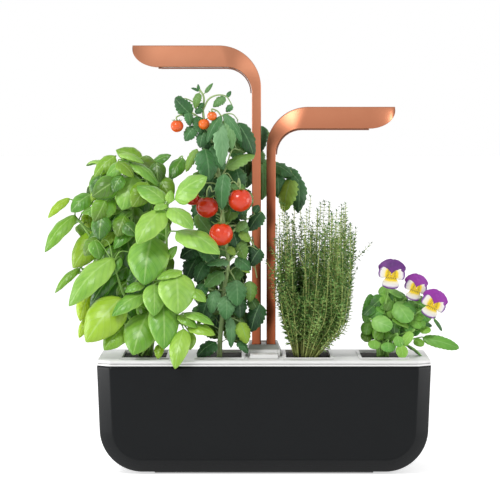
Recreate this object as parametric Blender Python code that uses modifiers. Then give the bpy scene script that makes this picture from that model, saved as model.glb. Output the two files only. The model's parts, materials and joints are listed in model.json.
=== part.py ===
"""Countertop hydroponic garden: a black pot with a water tank, a white planting deck with four plant
pods, and two copper lamp arms that slide in the deck's centre console. Metres, +Z up. The origin is the
centre of the pad that the pot stands on. The front looks along -Y."""

import math

import bmesh
import bpy
from mathutils import Matrix, Vector

# Fits that many pieces share
SEAT_GAP = 0.0003          # between a piece and what it rests on
SLIDE_GAP = 0.0003         # each side of a piece that slides in another
OVERRUN = 0.004            # how far a cutter passes a face

# Pot, in front view a tub with round lower corners and a chamfer round its front and back
POT_WIDTH = 0.344
POT_DEPTH = 0.168
POT_RIM_Z = 0.112
POT_WALL = 0.003
POT_CORNER_RADIUS = 0.0443
POT_CHAMFER = 0.0138
POT_SIDE_DRAFT = math.radians(2.3)
POT_CORNER_STEPS = 7
PAD_THICKNESS = 0.002
PAD_LENGTH = 0.226
PAD_DEPTH = 0.110
PAD_CORNER = 0.010
POT_FLOOR_Z = PAD_THICKNESS + SEAT_GAP

# Water tank inside the pot, hung by its flange
TANK_CLEARANCE = 0.001
TANK_WALL = 0.002
TANK_FLANGE = 0.0017
TANK_FLOOR_Z = POT_FLOOR_Z + POT_WALL + SEAT_GAP
FLANGE_Z = POT_RIM_Z + SEAT_GAP

# Deck, the white planting lid
DECK_SKIRT_Z = FLANGE_Z + TANK_FLANGE + SEAT_GAP
DECK_HEIGHT = 0.0037
DECK_TOP_Z = DECK_SKIRT_Z + DECK_HEIGHT
DECK_PLATE = 0.0024
DECK_EDGE_BEVEL = 0.0012
DECK_LIP_DEPTH = 0.010
DECK_LIP_WALL = 0.0016
DECK_LIP_GAP = 0.0008

# Plant pods: a cup with a white rim, a dark plug to grow in, and a wick
POD_END_MARGIN = 0.022      # from the outer pod's rim to the pot's side
POD_RIM_GAP = 0.026         # between the two pods of a side
POD_CENTRE_GAP = 0.040      # between the two middle pods
POD_RIM_DEPTH = 0.1176
POD_RIM_THICKNESS = 0.001
POD_RIM_LEDGE = 0.0015
POD_FIT = 0.0004
POD_CUP_WALL = 0.0012
POD_CUP_HEIGHT = 0.055
POD_CORNER = 0.004
POD_LIFT = 0.060
PLUG_RECESS = 0.0015
PLUG_FIT = 0.0003
WELL_WALL = 0.0015
WELL_DEPTH = 0.0496
WICK_WIDTH = 0.020
WICK_THICKNESS = 0.002
WICK_SLOT_GAP = 0.0005

# Water channels clipped under the wells
CHANNEL_WALL = 0.0015
CHANNEL_FLOOR_Z = 0.054
CHANNEL_OVERLAP = 0.004
CHANNEL_PORT_Z = 0.062
CHANNEL_DRAIN_RADIUS = 0.0025

# Lamp arms: a mast that bends into a flat head. Places are for the right arm
MAST_THICKNESS = 0.0095
MAST_GAP = 0.0058
MAST_Y = 0.010
MAST_DEPTH = 0.034
MAST_OUTER_DEPTH = 0.028
HEAD_THICKNESS = 0.0228
HEAD_DEPTH = 0.048
HEAD_OUTER_DEPTH = 0.034
BEND_OUTER_RADIUS = 0.044
BEND_INNER_RADIUS = 0.027
BEND_STEPS = 9
ARM_REACH = 0.134
TIP_LENGTH = 0.0272
TIP_BLUNT = 0.004
TIP_STEPS = 5
ARM_WALL = 0.0018
LEFT_HEAD_TOP_Z = 0.4418
RIGHT_ARM_DROP = 0.064
ARM_ENGAGED = 0.045
TRIM_THICKNESS = 0.0012
TRIM_MARGIN = 0.0015
LAMP_RECESS_LENGTH = 0.078
LAMP_RECESS_DEPTH = 0.038
LAMP_RECESS_HEIGHT = 0.0056
LAMP_BORDER = 0.003
DIFFUSER_THICKNESS = 0.003
DIFFUSER_POCKET = 0.0019
LED_BOARD_THICKNESS = 0.0016
LED_CHIP = 0.003
LED_CHIP_HEIGHT = 0.001
LED_ROWS = 3
LED_COLUMNS = 6
GLIDE_HEIGHT = 0.010
GLIDE_FOOT = 0.0015

# Console over the masts
CONSOLE_TOP_Z = 0.1295
CONSOLE_BASE_WIDTH = 0.0384
CONSOLE_TOP_WIDTH = 0.0294
CONSOLE_FRONT_Y = -0.017
CONSOLE_BACK_Y = 0.066
CONSOLE_FRONT_SLOPE = 0.0075
CONSOLE_BACK_SLOPE = 0.004
CONSOLE_WALL = 0.0015

# Guide that the masts slide in
GUIDE_WALL = 0.0023
GUIDE_FLANGE_WIDTH = 0.0332
GUIDE_FLANGE = 0.0012
GUIDE_FLANGE_MARGIN = 0.002
GUIDE_FLOOR = 0.002
GUIDE_FLOOR_GAP = 0.0025
SPRING_THICKNESS = 0.0004
SPRING_LENGTH = 0.026
SPRING_WIDTH = 0.008
SPRING_POCKET = 0.0011
SPRING_TOP_DROP = 0.012

# Filler with its flap, and the level float under it
FILLER_WIDTH = 0.026
FILLER_DEPTH = 0.024
FILLER_Y = -0.0385
FILLER_WALL = 0.0015
FILLER_FLANGE = 0.0012
FILLER_FLANGE_MARGIN = 0.002
FILLER_LENGTH = 0.052
FILLER_GRID = 0.003
FLAP_WIDTH = 0.0335
FLAP_FRONT_Y = -0.0545
FLAP_THICKNESS = 0.0024
FLAP_LIP = 0.0012
FLAP_AXIS_Y = -0.0205
FLAP_AXIS_Z = 0.1228
FLAP_BARREL_RADIUS = 0.0023
FLAP_PIN_RADIUS = 0.0011
FLAP_EAR = 0.0022
FLAP_WINDOW_RADIUS = 0.006
FLOAT_RADIUS = 0.0095
FLOAT_HEIGHT = 0.016
FLOAT_BASE_Z = 0.0265
FLOAT_STEM_RADIUS = 0.0015
FLOAT_STEM_TOP_Z = 0.094
FLOAT_STEM_GAP = 0.0005

# Pump behind the guide
PUMP_RADIUS = 0.0118
PUMP_BASE_Z = 0.0162
PUMP_TOP_Z = 0.0405
PUMP_WALL = 0.002
PUMP_CHAMBER_HEIGHT = 0.0105
PUMP_COVER_HEIGHT = 0.0055
PUMP_SHAFT_RADIUS = 0.0012
PUMP_PORT_RADIUS = 0.0042
IMPELLER_HEIGHT = 0.008
IMPELLER_HUB_RADIUS = 0.003
IMPELLER_BLADE = 0.0012
IMPELLER_BLADES = 5
IMPELLER_GAP = 0.0006
STRAINER_THICKNESS = 0.0014
SPIGOT_RADIUS = 0.0021
SPIGOT_BORE = 0.0012
SPIGOT_HEIGHT = 0.012
HOSE_RADIUS = 0.0034
BRACKET_THICKNESS = 0.0025
BRACKET_WIDTH = 0.020
SCREW_RADIUS = 0.0013
SCREW_HEAD_RADIUS = 0.0025
SCREW_HEAD_HEIGHT = 0.0016
SCREW_LENGTH = 0.008
SCREW_SPACING = 0.014

# Electronics under the console's back
BOARD_WIDTH = 0.026
BOARD_LENGTH = 0.0275
BOARD_THICKNESS = 0.0016
BOARD_FRONT_Y = 0.0335
BOARD_STANDOFF = 0.0012
SWITCH_SIZE = 0.006
SWITCH_HEIGHT = 0.0024
BUTTON_Y = 0.0396
BUTTON_RADIUS = 0.0045
BUTTON_FLANGE_RADIUS = 0.0056
BUTTON_PROUD = 0.0010
BUTTON_TRAVEL = 0.0008
JACK_WIDTH = 0.009
JACK_HEIGHT = 0.0062
JACK_LENGTH = 0.010
JACK_BORE_RADIUS = 0.0024
JACK_PIN_RADIUS = 0.0009
JACK_COLLAR_RADIUS = 0.0029

# Plants, each one solid from its root collar up. Heights are above the plug
LEAF_THICKNESS = 0.0014
PETIOLE_WIDTH = 0.0018
STALK_RADIUS = 0.0008
BRANCH_RADIUS = 0.0010
COLLAR_HEIGHT = 0.005
PLANT_BACK_Y = 0.081
BASIL_STEM_RADIUS = 0.0018
BASIL_COLLAR_RADIUS = 0.010
BASIL_FOOT_RADIUS = 0.006
BASIL_BACK_LENGTH = 0.034
BASIL_BACK_STALK = 0.010
BASIL_BACK_RIGHT_X = -0.098
TOMATO_STEM_Y = -0.030
TOMATO_STEM_RADIUS = 0.0029
TOMATO_COLLAR_RADIUS = 0.008
TOMATO_BACK_LENGTH = 0.027
TOMATO_BACK_STALK = 0.026
TOMATO_BACK_LEFT_X = -0.072
TOMATO_BACK_RIGHT_X = -0.012
TOMATO_BACK_FRONT_Y = -0.020
TOMATO_BACK_TOP_Z = 0.330
THYME_HEIGHT = 0.166
THYME_SPREAD = 0.074
THYME_DEPTH = 0.050
THYME_CROWN_SIDE_MARGIN = 0.0046
THYME_CROWN_END_MARGIN = 0.0134
THYME_CROWN_CORNER = 0.004
THYME_STEM_RADIUS = 0.0009
THYME_SPRIG_RADIUS = 0.0036
THYME_LEAN_X = 0.024
THYME_STEMS = 36
THYME_TRIES = 16
VIOLA_STALK_RADIUS = 0.0010
VIOLA_COLLAR_RADIUS = 0.009
VIOLA_STEM_Y = -0.016
VIOLA_BACK_LENGTH = 0.024
VIOLA_BACK_HEIGHT = 0.052
VIOLA_BACK_REACH = 0.028
VIOLA_PETAL_THICKNESS = 0.0014
VIOLA_EYE_RADIUS = 0.0022

# The photograph's camera, which turns the plants' pixels into places, and the pods' places in the photograph
CAMERA_X = -0.0144
CAMERA_Y = -3.684
CAMERA_HEIGHT = 0.385
CAMERA_PITCH = math.radians(-2.44)
PHOTO_PIXELS = 500
PHOTO_FOCAL_PIXELS = 3522
SEEN_OUTER_X = 0.124
SEEN_INNER_X = 0.046

# Room that plants leave each other, the arms and the flap, seen from above
LAMP_ROOM = 0.003
BASIL_FRONT_Y = -0.060
TOMATO_RIGHT_X = -0.0035
TOMATO_BACK_Y = 0.040
THYME_LEFT_X = -0.001
THYME_OVERHANG = 0.014
THYME_VIOLA_Y = -0.004
PLANT_MARGIN = 0.002
HIGH_TOMATO_Z = 0.345
LOW_BASIL_Z = 0.240
BASIL_TOP_INSET = 0.014
HIGH_LEFT_Z = 0.304
TOMATO_FRONT_X = -0.046
VIOLA_BACK_SHARE = 0.9
LOW_FLAP_Z = 0.162

ROUND_STEPS = 24
SMALL_ROUND_STEPS = 12

GOLDEN_ANGLE = math.radians(137.5)
SPREAD_STEPS = (0.8192, 0.6710, 0.5497)     # multiples of these spread evenly over 0 to 1
ROOT_SHARE = 0.6
INSET_CHAMFER_SHARE = 2 - math.sqrt(2)      # what a chamfer loses as its faces move in

# Along a leaf: how far, and how broad
OVATE_SHARES = ((0.08, 0.50), (0.38, 1.0), (0.76, 0.64))
SMALL_LEAF_SHARES = ((0.15, 0.75), (0.60, 0.95))
ROUND_LEAF_SHARES = ((0.16, 0.85), (0.72, 0.95))
PETAL_SHARES = ((0.25, 0.45), (0.60, 1.0), (0.90, 0.75))
BLADE_MIDDLE_SHARE = 0.6
FACE_ALONG_SHARE = 0.15
STALK_END_SHARE = 0.4
STALK_BEND_SHARE = 0.4
STALK_MIDDLE_SHARE = 0.6
STEP_END_SHARE = 0.92
SMALL_LEAF_PIXELS = 14
BENT_STALK = 0.012
BASIL_BROADEN, BASIL_ARCH, BASIL_SWAY = 1.12, 0.13, 0.12
TOMATO_BROADEN, TOMATO_ARCH, TOMATO_SWAY = 1.15, 0.14, 0.25
VIOLA_BROADEN, VIOLA_ARCH, VIOLA_SWAY = 1.08, 0.08, 0.1

# Basil stems: photograph pixel across and down, and depth in pixels, from the root up
BASIL_STEMS = (
    ((156, 320, -26), (166, 262, -48), (166, 216, -60), (168, 204, -64)),
    ((140, 310, -6), (133, 250, -14), (131, 190, -22), (132, 164, -22)),
    ((134, 310, 4), (118, 255, 6), (108, 200, 4), (113, 160, 4)),
    ((132, 318, -12), (112, 276, -14), (90, 236, -8), (75, 216, -8)),
    ((134, 318, -30), (122, 290, -42), (113, 262, -46)),
    ((156, 322, -40), (168, 300, -62), (174, 276, -68)),
    ((140, 330, -36), (128, 316, -52), (121, 300, -58)),
    ((158, 330, -44), (172, 322, -66), (182, 314, -70)),
    ((148, 300, 14), (152, 230, 26), (152, 190, 30), (150, 166, 30)),
    ((136, 312, 22), (112, 270, 40), (94, 232, 46)),
    ((152, 300, 28), (164, 240, 40), (168, 200, 46), (170, 168, 46)),
    ((138, 320, 10), (112, 300, 18), (88, 276, 20), (80, 266, 20)),
    ((146, 318, 34), (140, 250, 56), (134, 210, 60)),
)

# Leaves: base and tip pixels, their depths, breadth in pixels, and the blade's tilt up from the viewer
BASIL_LEAVES = (
    (175, 199, 207, 177, -66, -82, 25, 40),
    (165, 202, 137, 186, -64, -46, 19, 55),
    (163, 209, 137, 244, -66, -84, 26, 45),
    (169, 208, 193, 229, -66, -88, 19, 45),
    (166, 204, 154, 210, -66, -74, 10, 50),
    (169, 203, 171, 190, -66, -64, 8, 30),
    (177, 231, 220, 254, -64, -88, 26, 50),
    (152, 236, 144, 285, -52, -72, 37, 20),
    (134, 175, 122, 210, -26, -40, 27, 15),
    (130, 162, 159, 186, -24, -30, 15, 60),
    (142, 160, 116, 150, -6, -2, 17, 35),
    (119, 154, 144, 163, -26, -30, 10, 60),
    (128, 161, 106, 178, -26, -32, 15, 45),
    (109, 173, 91, 202, -6, -14, 13, 20),
    (115, 156, 94, 177, -4, -6, 16, 35),
    (91, 194, 71, 212, -8, -16, 18, 35),
    (69, 198, 48, 218, -8, -12, 10, 45),
    (75, 215, 45, 252, -8, -18, 17, 50),
    (122, 209, 81, 213, -18, -26, 18, 55),
    (88, 212, 90, 228, 4, 2, 14, 20),
    (132, 211, 111, 225, -22, -34, 10, 50),
    (109, 219, 98, 244, -16, -24, 14, 30),
    (115, 232, 101, 248, -25, -34, 11, 40),
    (99, 233, 73, 268, -4, -8, 24, 15),
    (113, 258, 69, 306, -46, -58, 27, 45),
    (80, 268, 55, 293, 6, 2, 9, 40),
    (134, 225, 114, 249, -26, -40, 15, 40),
    (116, 271, 90, 308, -40, -44, 14, 25),
    (90, 292, 80, 321, -28, -34, 16, 10),
    (89, 317, 79, 338, -26, -32, 9, 10),
    (121, 298, 86, 342, -58, -66, 34, 20),
    (144, 294, 112, 316, -62, -76, 18, 45),
    (144, 283, 125, 292, -60, -66, 13, 55),
    (125, 327, 104, 350, -54, -64, 20, 30),
    (154, 284, 154, 316, -68, -84, 20, 35),
    (176, 272, 178, 314, -70, -88, 33, 30),
    (182, 271, 157, 279, -70, -76, 14, 60),
    (190, 289, 206, 302, -72, -80, 13, 50),
    (184, 313, 214, 325, -72, -84, 13, 60),
    (178, 315, 197, 328, -74, -82, 12, 50),
    (188, 326, 215, 335, -72, -84, 15, 50),
    (163, 302, 164, 349, -66, -86, 27, 30),
    (148, 313, 133, 355, -56, -76, 32, 30),
    (184, 329, 175, 369, -76, -95, 18, 35),
    (190, 332, 190, 350, -66, -72, 11, 20),
    (160, 344, 158, 359, -62, -68, 9, 20),
    (120, 257, 110, 277, -40, -44, 11, 30),
    (126, 276, 96, 304, -26, -30, 22, 25),
    (167, 259, 177, 246, -58, -60, 8, 35),
    (166, 261, 157, 249, -58, -56, 9, 35),
    (150, 167, 171, 155, 22, 10, 13, 40),
    (183, 158, 171, 179, 20, 6, 15, 25),
    (173, 181, 162, 187, 4, -4, 9, 45),
    (146, 216, 150, 262, -10, -18, 26, 25),
    (126, 232, 132, 276, -18, -26, 24, 25),
    (148, 188, 130, 224, 0, -6, 24, 25),
    (164, 292, 146, 330, -36, -40, 26, 20),
    (134, 296, 112, 326, -30, -34, 22, 20),
    (112, 206, 102, 236, -2, -6, 22, 20),
    (150, 262, 128, 296, -34, -36, 24, 20),
)
BASIL_BACK_STEMS = (2, 3, 8, 9, 10, 11, 12)
BASIL_BACK_LEAVES = 26

# Tomato: the main stem, its branches, the leaflets, and each fruit's centre, radius in pixels and depth
TOMATO_TRUNK = (
    (220, 340, -30), (222, 318, -32), (224, 290, -34), (228, 266, -34), (226, 240, -32), (222, 210, -32),
    (220, 180, -34), (214, 150, -36), (205, 124, -38), (203, 110, -38), (204, 98, -38), (200, 90, -38),
    (197, 86, -38),
)
TOMATO_BRANCHES = (
    ((203, 110, -38), (208, 100, -40), (214, 96, -42), (221, 95, -42), (227, 97, -42), (232, 105, -44)),
    ((205, 122, -38), (197, 116, -40), (191, 112, -42), (187, 111, -43)),
    ((203, 112, -38), (196, 104, -38), (187, 99, -38), (182, 99, -38)),
    ((214, 150, -36), (217, 128, -46), (222, 116, -48), (232, 114, -44), (238, 120, -40)),
    ((220, 180, -34), (226, 168, -40), (232, 150, -40), (240, 150, -36)),
    ((220, 180, -34), (208, 160, -40), (200, 152, -42), (190, 153, -40)),
    ((222, 200, -32), (218, 190, -50), (212, 192, -54)),
    ((222, 200, -32), (232, 182, -46), (240, 188, -52)),
    ((226, 240, -32), (236, 228, -34), (246, 220, -28), (256, 214, -26)),
    ((228, 262, -34), (240, 250, -34), (250, 246, -28), (258, 250, -26)),
    ((228, 268, -34), (233, 276, -40), (236, 282, -42)),
    ((228, 266, -34), (216, 262, -34), (206, 262, -34)),
    ((224, 290, -34), (212, 290, -40), (206, 284, -40)),
    ((224, 290, -34), (240, 292, -30), (252, 298, -26), (258, 304, -25)),
    ((222, 318, -32), (232, 318, -36), (240, 322, -36)),
    ((222, 210, -32), (222, 190, -2), (236, 170, 40), (262, 160, 50), (285, 166, 52), (296, 178, 50)),
    ((226, 240, -32), (222, 226, -2), (238, 214, 42), (258, 200, 50)),
    ((224, 250, -32), (206, 246, -20), (194, 250, -14)),
    ((243, 223, -32), (250, 238, -28), (255, 250, -25), (255, 266, -25), (257, 278, -25)),
)
TOMATO_LEAVES = (
    (191, 115, 175, 98, -42, -44, 15, 10),
    (199, 93, 195, 109, -38, -42, 8, 20),
    (225, 97, 213, 107, -42, -44, 9, 20),
    (205, 93, 213, 83, -38, -38, 4, 20),
    (199, 91, 191, 88, -38, -38, 3, 40),
    (199, 91, 198, 84, -38, -38, 3, 20),
    (183, 99, 175, 98, -38, -38, 6, 30),
    (227, 97, 231, 91, -42, -40, 4, 20),
    (232, 105, 226, 112, -44, -44, 7, 30),
    (198, 108, 204, 103, -40, -40, 5, 30),
    (201, 108, 196, 114, -40, -44, 8, 30),
    (195, 126, 185, 141, -42, -44, 13, 20),
    (188, 112, 190, 126, -43, -46, 9, 30),
    (197, 116, 201, 134, -40, -46, 12, 25),
    (205, 130, 200, 148, -42, -46, 13, 25),
    (219, 120, 222, 167, -50, -56, 15, 10),
    (221, 116, 207, 143, -50, -54, 10, 30),
    (224, 114, 242, 142, -48, -46, 10, 25),
    (228, 115, 232, 150, -46, -50, 12, 20),
    (238, 123, 254, 157, -34, -28, 17, 15),
    (226, 168, 255, 155, -42, -30, 14, 50),
    (205, 149, 209, 181, -46, -52, 22, 15),
    (197, 149, 186, 172, -42, -44, 9, 20),
    (212, 146, 224, 170, -40, -48, 14, 20),
    (224, 174, 222, 210, -56, -64, 15, 10),
    (245, 158, 247, 188, 44, 40, 20, 10),
    (261, 158, 262, 200, 48, 44, 22, 10),
    (262, 126, 261, 152, 46, 44, 13, 15),
    (263, 130, 269, 139, 46, 44, 9, 30),
    (259, 150, 262, 164, 46, 44, 10, 20),
    (272, 164, 292, 176, 50, 46, 15, 35),
    (276, 168, 278, 198, 52, 48, 17, 15),
    (291, 178, 284, 212, 50, 46, 19, 10),
    (298, 178, 298, 213, 52, 50, 17, 10),
    (285, 168, 302, 186, 54, 52, 14, 20),
    (262, 212, 249, 231, -26, -28, 15, 20),
    (254, 213, 259, 205, -26, -26, 8, 20),
    (260, 249, 250, 266, -26, -28, 15, 15),
    (250, 246, 258, 256, -26, -26, 10, 15),
    (260, 304, 251, 332, -26, -30, 18, 15),
    (250, 298, 258, 312, -26, -26, 12, 15),
    (236, 280, 237, 306, -44, -50, 20, 15),
    (216, 290, 211, 314, -42, -48, 13, 20),
    (226, 296, 226, 320, -46, -52, 17, 15),
    (223, 272, 205, 287, -40, -46, 16, 35),
    (229, 262, 207, 265, -38, -44, 10, 45),
    (198, 256, 186, 280, -16, -18, 20, 15),
    (200, 246, 180, 258, -16, -18, 17, 20),
    (202, 248, 218, 264, -34, -38, 15, 25),
    (228, 247, 235, 255, -36, -38, 8, 20),
    (246, 221, 236, 232, -34, -38, 10, 30),
    (240, 232, 250, 242, -34, -36, 9, 30),
    (236, 258, 251, 270, -34, -36, 14, 30),
    (241, 267, 250, 273, -34, -36, 6, 30),
    (250, 281, 250, 302, -30, -34, 14, 20),
    (240, 322, 247, 344, -38, -42, 14, 15),
    (230, 317, 231, 348, -38, -42, 10, 15),
    (216, 342, 197, 357, -36, -42, 16, 35),
    (238, 341, 248, 353, -34, -38, 9, 35),
    (206, 262, 196, 282, -30, -34, 15, 25),
    (204, 284, 196, 300, -36, -38, 14, 25),
    (208, 300, 202, 322, -36, -40, 16, 25),
    (238, 296, 240, 318, -32, -36, 16, 25),
    (230, 226, 238, 250, -28, -30, 17, 20),
    (206, 226, 200, 248, -26, -28, 17, 20),
    (214, 210, 206, 232, -24, -26, 18, 20),
    (236, 196, 242, 220, -26, -28, 18, 20),
    (200, 176, 194, 200, -26, -30, 18, 20),
    (214, 178, 208, 200, -26, -30, 18, 20),
    (236, 168, 240, 192, -28, -30, 18, 20),
    (206, 132, 212, 158, -34, -36, 16, 20),
    (200, 262, 206, 290, 10, 12, 20, 20),
    (236, 262, 240, 290, 2, 4, 18, 20),
    (222, 300, 216, 330, -14, -12, 20, 20),
    (238, 318, 244, 344, -22, -22, 14, 20),
    (200, 200, 204, 232, 16, 18, 20, 20),
    (240, 228, 244, 258, 10, 12, 16, 20),
)
TOMATO_FRUITS = (
    (177, 126, 6.4, -44),
    (204, 124, 5.6, -46),
    (212, 116, 4.8, -50),
    (207, 207, 11.0, -54),
    (240, 200, 11.8, -56),
    (221, 234, 11.8, -57),
    (192, 198, 7.6, -34),
)
TOMATO_BACK_STEMS = (0, 0, 16, 17)
TOMATO_BACK_LEAVES = 18

# Along a thyme sprig: how far, and how leafy
THYME_BULGE_SHARE = 0.72
THYME_RETREAT_SHARE = 0.12
THYME_BASE_SHARE = 0.9
THYME_SPRIG_SHARES = ((0.0, 0.2), (0.30, 0.3), (0.45, 1.0), (0.75, 0.95), (0.95, 0.6), (1.0, 0.1))

# Viola: its leaves, then each flower's centre, depth, the way it faces, size in pixels and roll
VIOLA_LEAVES = (
    (366, 323, 371, 294, -14, -16, 12, 5),
    (391, 313, 376, 308, -22, -30, 10, 45),
    (396, 302, 410, 322, -26, -38, 21, 15),
    (372, 320, 392, 328, -38, -46, 17, 15),
    (418, 307, 427, 321, -22, -28, 14, 20),
    (411, 296, 432, 307, -24, -30, 11, 40),
    (389, 289, 402, 297, -24, -30, 8, 45),
    (387, 293, 408, 302, -14, -18, 14, 25),
    (388, 287, 379, 294, -18, -22, 9, 30),
    (414, 327, 392, 319, -26, -30, 11, 45),
    (420, 330, 431, 330, -26, -28, 9, 40),
    (423, 338, 459, 348, -22, -26, 13, 25),
    (375, 340, 374, 349, -40, -48, 13, 45),
    (388, 342, 389, 352, -42, -50, 15, 45),
    (397, 336, 400, 347, -44, -50, 10, 20),
    (401, 345, 403, 358, -48, -56, 12, 20),
    (412, 332, 402, 346, -40, -46, 10, 20),
    (390, 306, 374, 320, -10, -12, 16, 20),
    (406, 318, 404, 340, -16, -20, 16, 20),
    (384, 322, 378, 342, -16, -20, 16, 20),
    (418, 322, 432, 326, -8, -6, 7, 40),
    (398, 328, 386, 340, -28, -32, 12, 20),
    (434, 319, 442, 331, -10, -8, 4, 40),
    (414, 340, 424, 345, -30, -34, 9, 30),
)
VIOLA_BACK_LEAVES = 14
VIOLA_FLOWERS = (
    (391.5, 273.5, -46, -0.25, -0.05, 15.5, 8),
    (416.5, 285.5, -36, 0.35, -0.30, 13.5, 14),
    (434, 303.5, -40, 0.18, -0.15, 14.5, 10),
)
# A flower's petals: angle from upright, length and breadth
VIOLA_PETALS = ((-30, 1.0, 1.05), (36, 1.02, 1.05), (-84, 0.86, 0.80), (82, 0.86, 0.80), (180, 0.92, 1.15))

# Places that follow from the sizes above
POD_RIM_WIDTH = (POT_WIDTH / 2 - POD_END_MARGIN - POD_RIM_GAP - POD_CENTRE_GAP / 2) / 2
POD_INNER_X = (POD_CENTRE_GAP + POD_RIM_WIDTH) / 2
POD_PITCH = POD_RIM_WIDTH + POD_RIM_GAP
WELL_HALF_X = POD_RIM_WIDTH / 2 - POD_RIM_LEDGE
WELL_HALF_Y = POD_RIM_DEPTH / 2 - POD_RIM_LEDGE
WELL_BASE_Z = DECK_TOP_Z - WELL_DEPTH
POD_SEAT_Z = DECK_TOP_Z + SEAT_GAP
POD_TOP_Z = POD_SEAT_Z + POD_RIM_THICKNESS
PLUG_TOP_Z = POD_TOP_Z - PLUG_RECESS
POD_CENTRES = {
    "basil": -POD_INNER_X - POD_PITCH,
    "tomato": -POD_INNER_X,
    "thyme": POD_INNER_X,
    "viola": POD_INNER_X + POD_PITCH,
}
MAST_INNER_X = MAST_GAP / 2
MAST_BASE_Z = CONSOLE_TOP_Z - ARM_ENGAGED
GUIDE_HALF_X = MAST_INNER_X + MAST_THICKNESS + SLIDE_GAP + GUIDE_WALL
GUIDE_FRONT_Y = MAST_Y - MAST_DEPTH / 2 - SLIDE_GAP - GUIDE_WALL
GUIDE_BACK_Y = MAST_Y + MAST_DEPTH / 2 + SLIDE_GAP + GUIDE_WALL
GUIDE_BASE_Z = TANK_FLOOR_Z + TANK_WALL + GUIDE_FLOOR_GAP
GUIDE_TOP_Z = POD_SEAT_Z + GUIDE_FLANGE
ROOT_Z = PLUG_TOP_Z + SEAT_GAP + COLLAR_HEIGHT * ROOT_SHARE
TANK_INSET = POT_WALL + TANK_CLEARANCE + TANK_WALL
STRAINER_Z = PUMP_BASE_Z - PUMP_COVER_HEIGHT - STRAINER_THICKNESS - 2 * SEAT_GAP
TANK_BACK_Y = (POT_DEPTH / 2 - TANK_INSET - POT_CHAMFER + TANK_INSET * INSET_CHAMFER_SHARE
               + STRAINER_Z - TANK_FLOOR_Z - TANK_WALL)
PUMP_Y = (GUIDE_BACK_Y + TANK_BACK_Y) / 2
IMPELLER_RADIUS = PUMP_RADIUS - PUMP_WALL - 2 * IMPELLER_GAP
PLUG_HALF_X = WELL_HALF_X - POD_FIT - POD_CUP_WALL - PLUG_FIT
PLUG_HALF_Y = WELL_HALF_Y - POD_FIT - POD_CUP_WALL - PLUG_FIT
BETWEEN_PODS_X = POD_INNER_X + POD_PITCH / 2
BASIL_RIGHT_X = PLANT_MARGIN - BETWEEN_PODS_X
THYME_VIOLA_X = BETWEEN_PODS_X + THYME_OVERHANG
BOARD_Z = DECK_TOP_Z + BOARD_STANDOFF + SEAT_GAP
BOARD_TOP_Z = BOARD_Z + BOARD_THICKNESS
CONSOLE_CEILING_Z = CONSOLE_TOP_Z - CONSOLE_WALL
PIXEL = -CAMERA_Y / PHOTO_FOCAL_PIXELS
SEEN_CENTRES = {"basil": -SEEN_OUTER_X, "tomato": -SEEN_INNER_X, "thyme": SEEN_INNER_X,
                "viola": SEEN_OUTER_X}

COLOURS = {
    "black": ((0.016, 0.018, 0.019), 0.25, 0.0),
    "white": ((0.86, 0.86, 0.85), 0.35, 0.0),
    "frosted": ((0.80, 0.82, 0.82), 0.45, 0.0),
    "copper": ((0.50, 0.19, 0.09), 0.33, 0.9),
    "dark_trim": ((0.055, 0.026, 0.018), 0.45, 0.0),
    "rubber": ((0.02, 0.02, 0.02), 0.85, 0.0),
    "steel": ((0.62, 0.62, 0.64), 0.25, 1.0),
    "circuit": ((0.02, 0.16, 0.07), 0.5, 0.0),
    "diffuser": ((0.92, 0.92, 0.90), 0.4, 0.0),
    "soil": ((0.012, 0.013, 0.014), 0.9, 0.0),
    "felt": ((0.55, 0.55, 0.50), 0.95, 0.0),
    "basil": ((0.16, 0.44, 0.035), 0.45, 0.0),
    "tomato_green": ((0.05, 0.20, 0.05), 0.55, 0.0),
    "tomato_red": ((0.80, 0.055, 0.012), 0.18, 0.0),
    "thyme": ((0.16, 0.28, 0.05), 0.6, 0.0),
    "viola_green": ((0.11, 0.33, 0.05), 0.5, 0.0),
    "viola_purple": ((0.16, 0.012, 0.28), 0.5, 0.0),
}


def clear_scene():
    for item in list(bpy.data.objects):
        bpy.data.objects.remove(item, do_unlink=True)


def new_collection(name, hidden=False):
    found = bpy.data.collections.new(name)
    bpy.context.scene.collection.children.link(found)
    found.hide_render = hidden
    return found


def material(name):
    made = bpy.data.materials.get(name)
    if made is None:
        colour, roughness, metallic = COLOURS[name]
        made = bpy.data.materials.new(name)
        made.use_nodes = True
        shader = made.node_tree.nodes["Principled BSDF"]
        shader.inputs["Base Color"].default_value = (*colour, 1.0)
        shader.inputs["Roughness"].default_value = roughness
        shader.inputs["Metallic"].default_value = metallic
    return made


def object_from(mesh_builder, name, finish=None):
    """Turns a bmesh into a named object: a part if it has a finish, or else a cutter."""
    mesh = bpy.data.meshes.new(name)
    bmesh.ops.recalc_face_normals(mesh_builder, faces=mesh_builder.faces)
    mesh_builder.to_mesh(mesh)
    mesh_builder.free()
    made = bpy.data.objects.new(name, mesh)
    if finish:
        mesh.materials.append(material(finish))
        PARTS.objects.link(made)
    else:
        CUTTERS.objects.link(made)
        made.hide_render = True
        made.display_type = "WIRE"
    return made


def box_mesh(low, high):
    """A box between two corners."""
    made = bmesh.new()
    bmesh.ops.create_cube(made, size=1)
    size = [b - a for a, b in zip(low, high)]
    middle = [(a + b) / 2 for a, b in zip(low, high)]
    bmesh.ops.scale(made, vec=size, verts=made.verts)
    bmesh.ops.translate(made, vec=middle, verts=made.verts)
    return made


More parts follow.
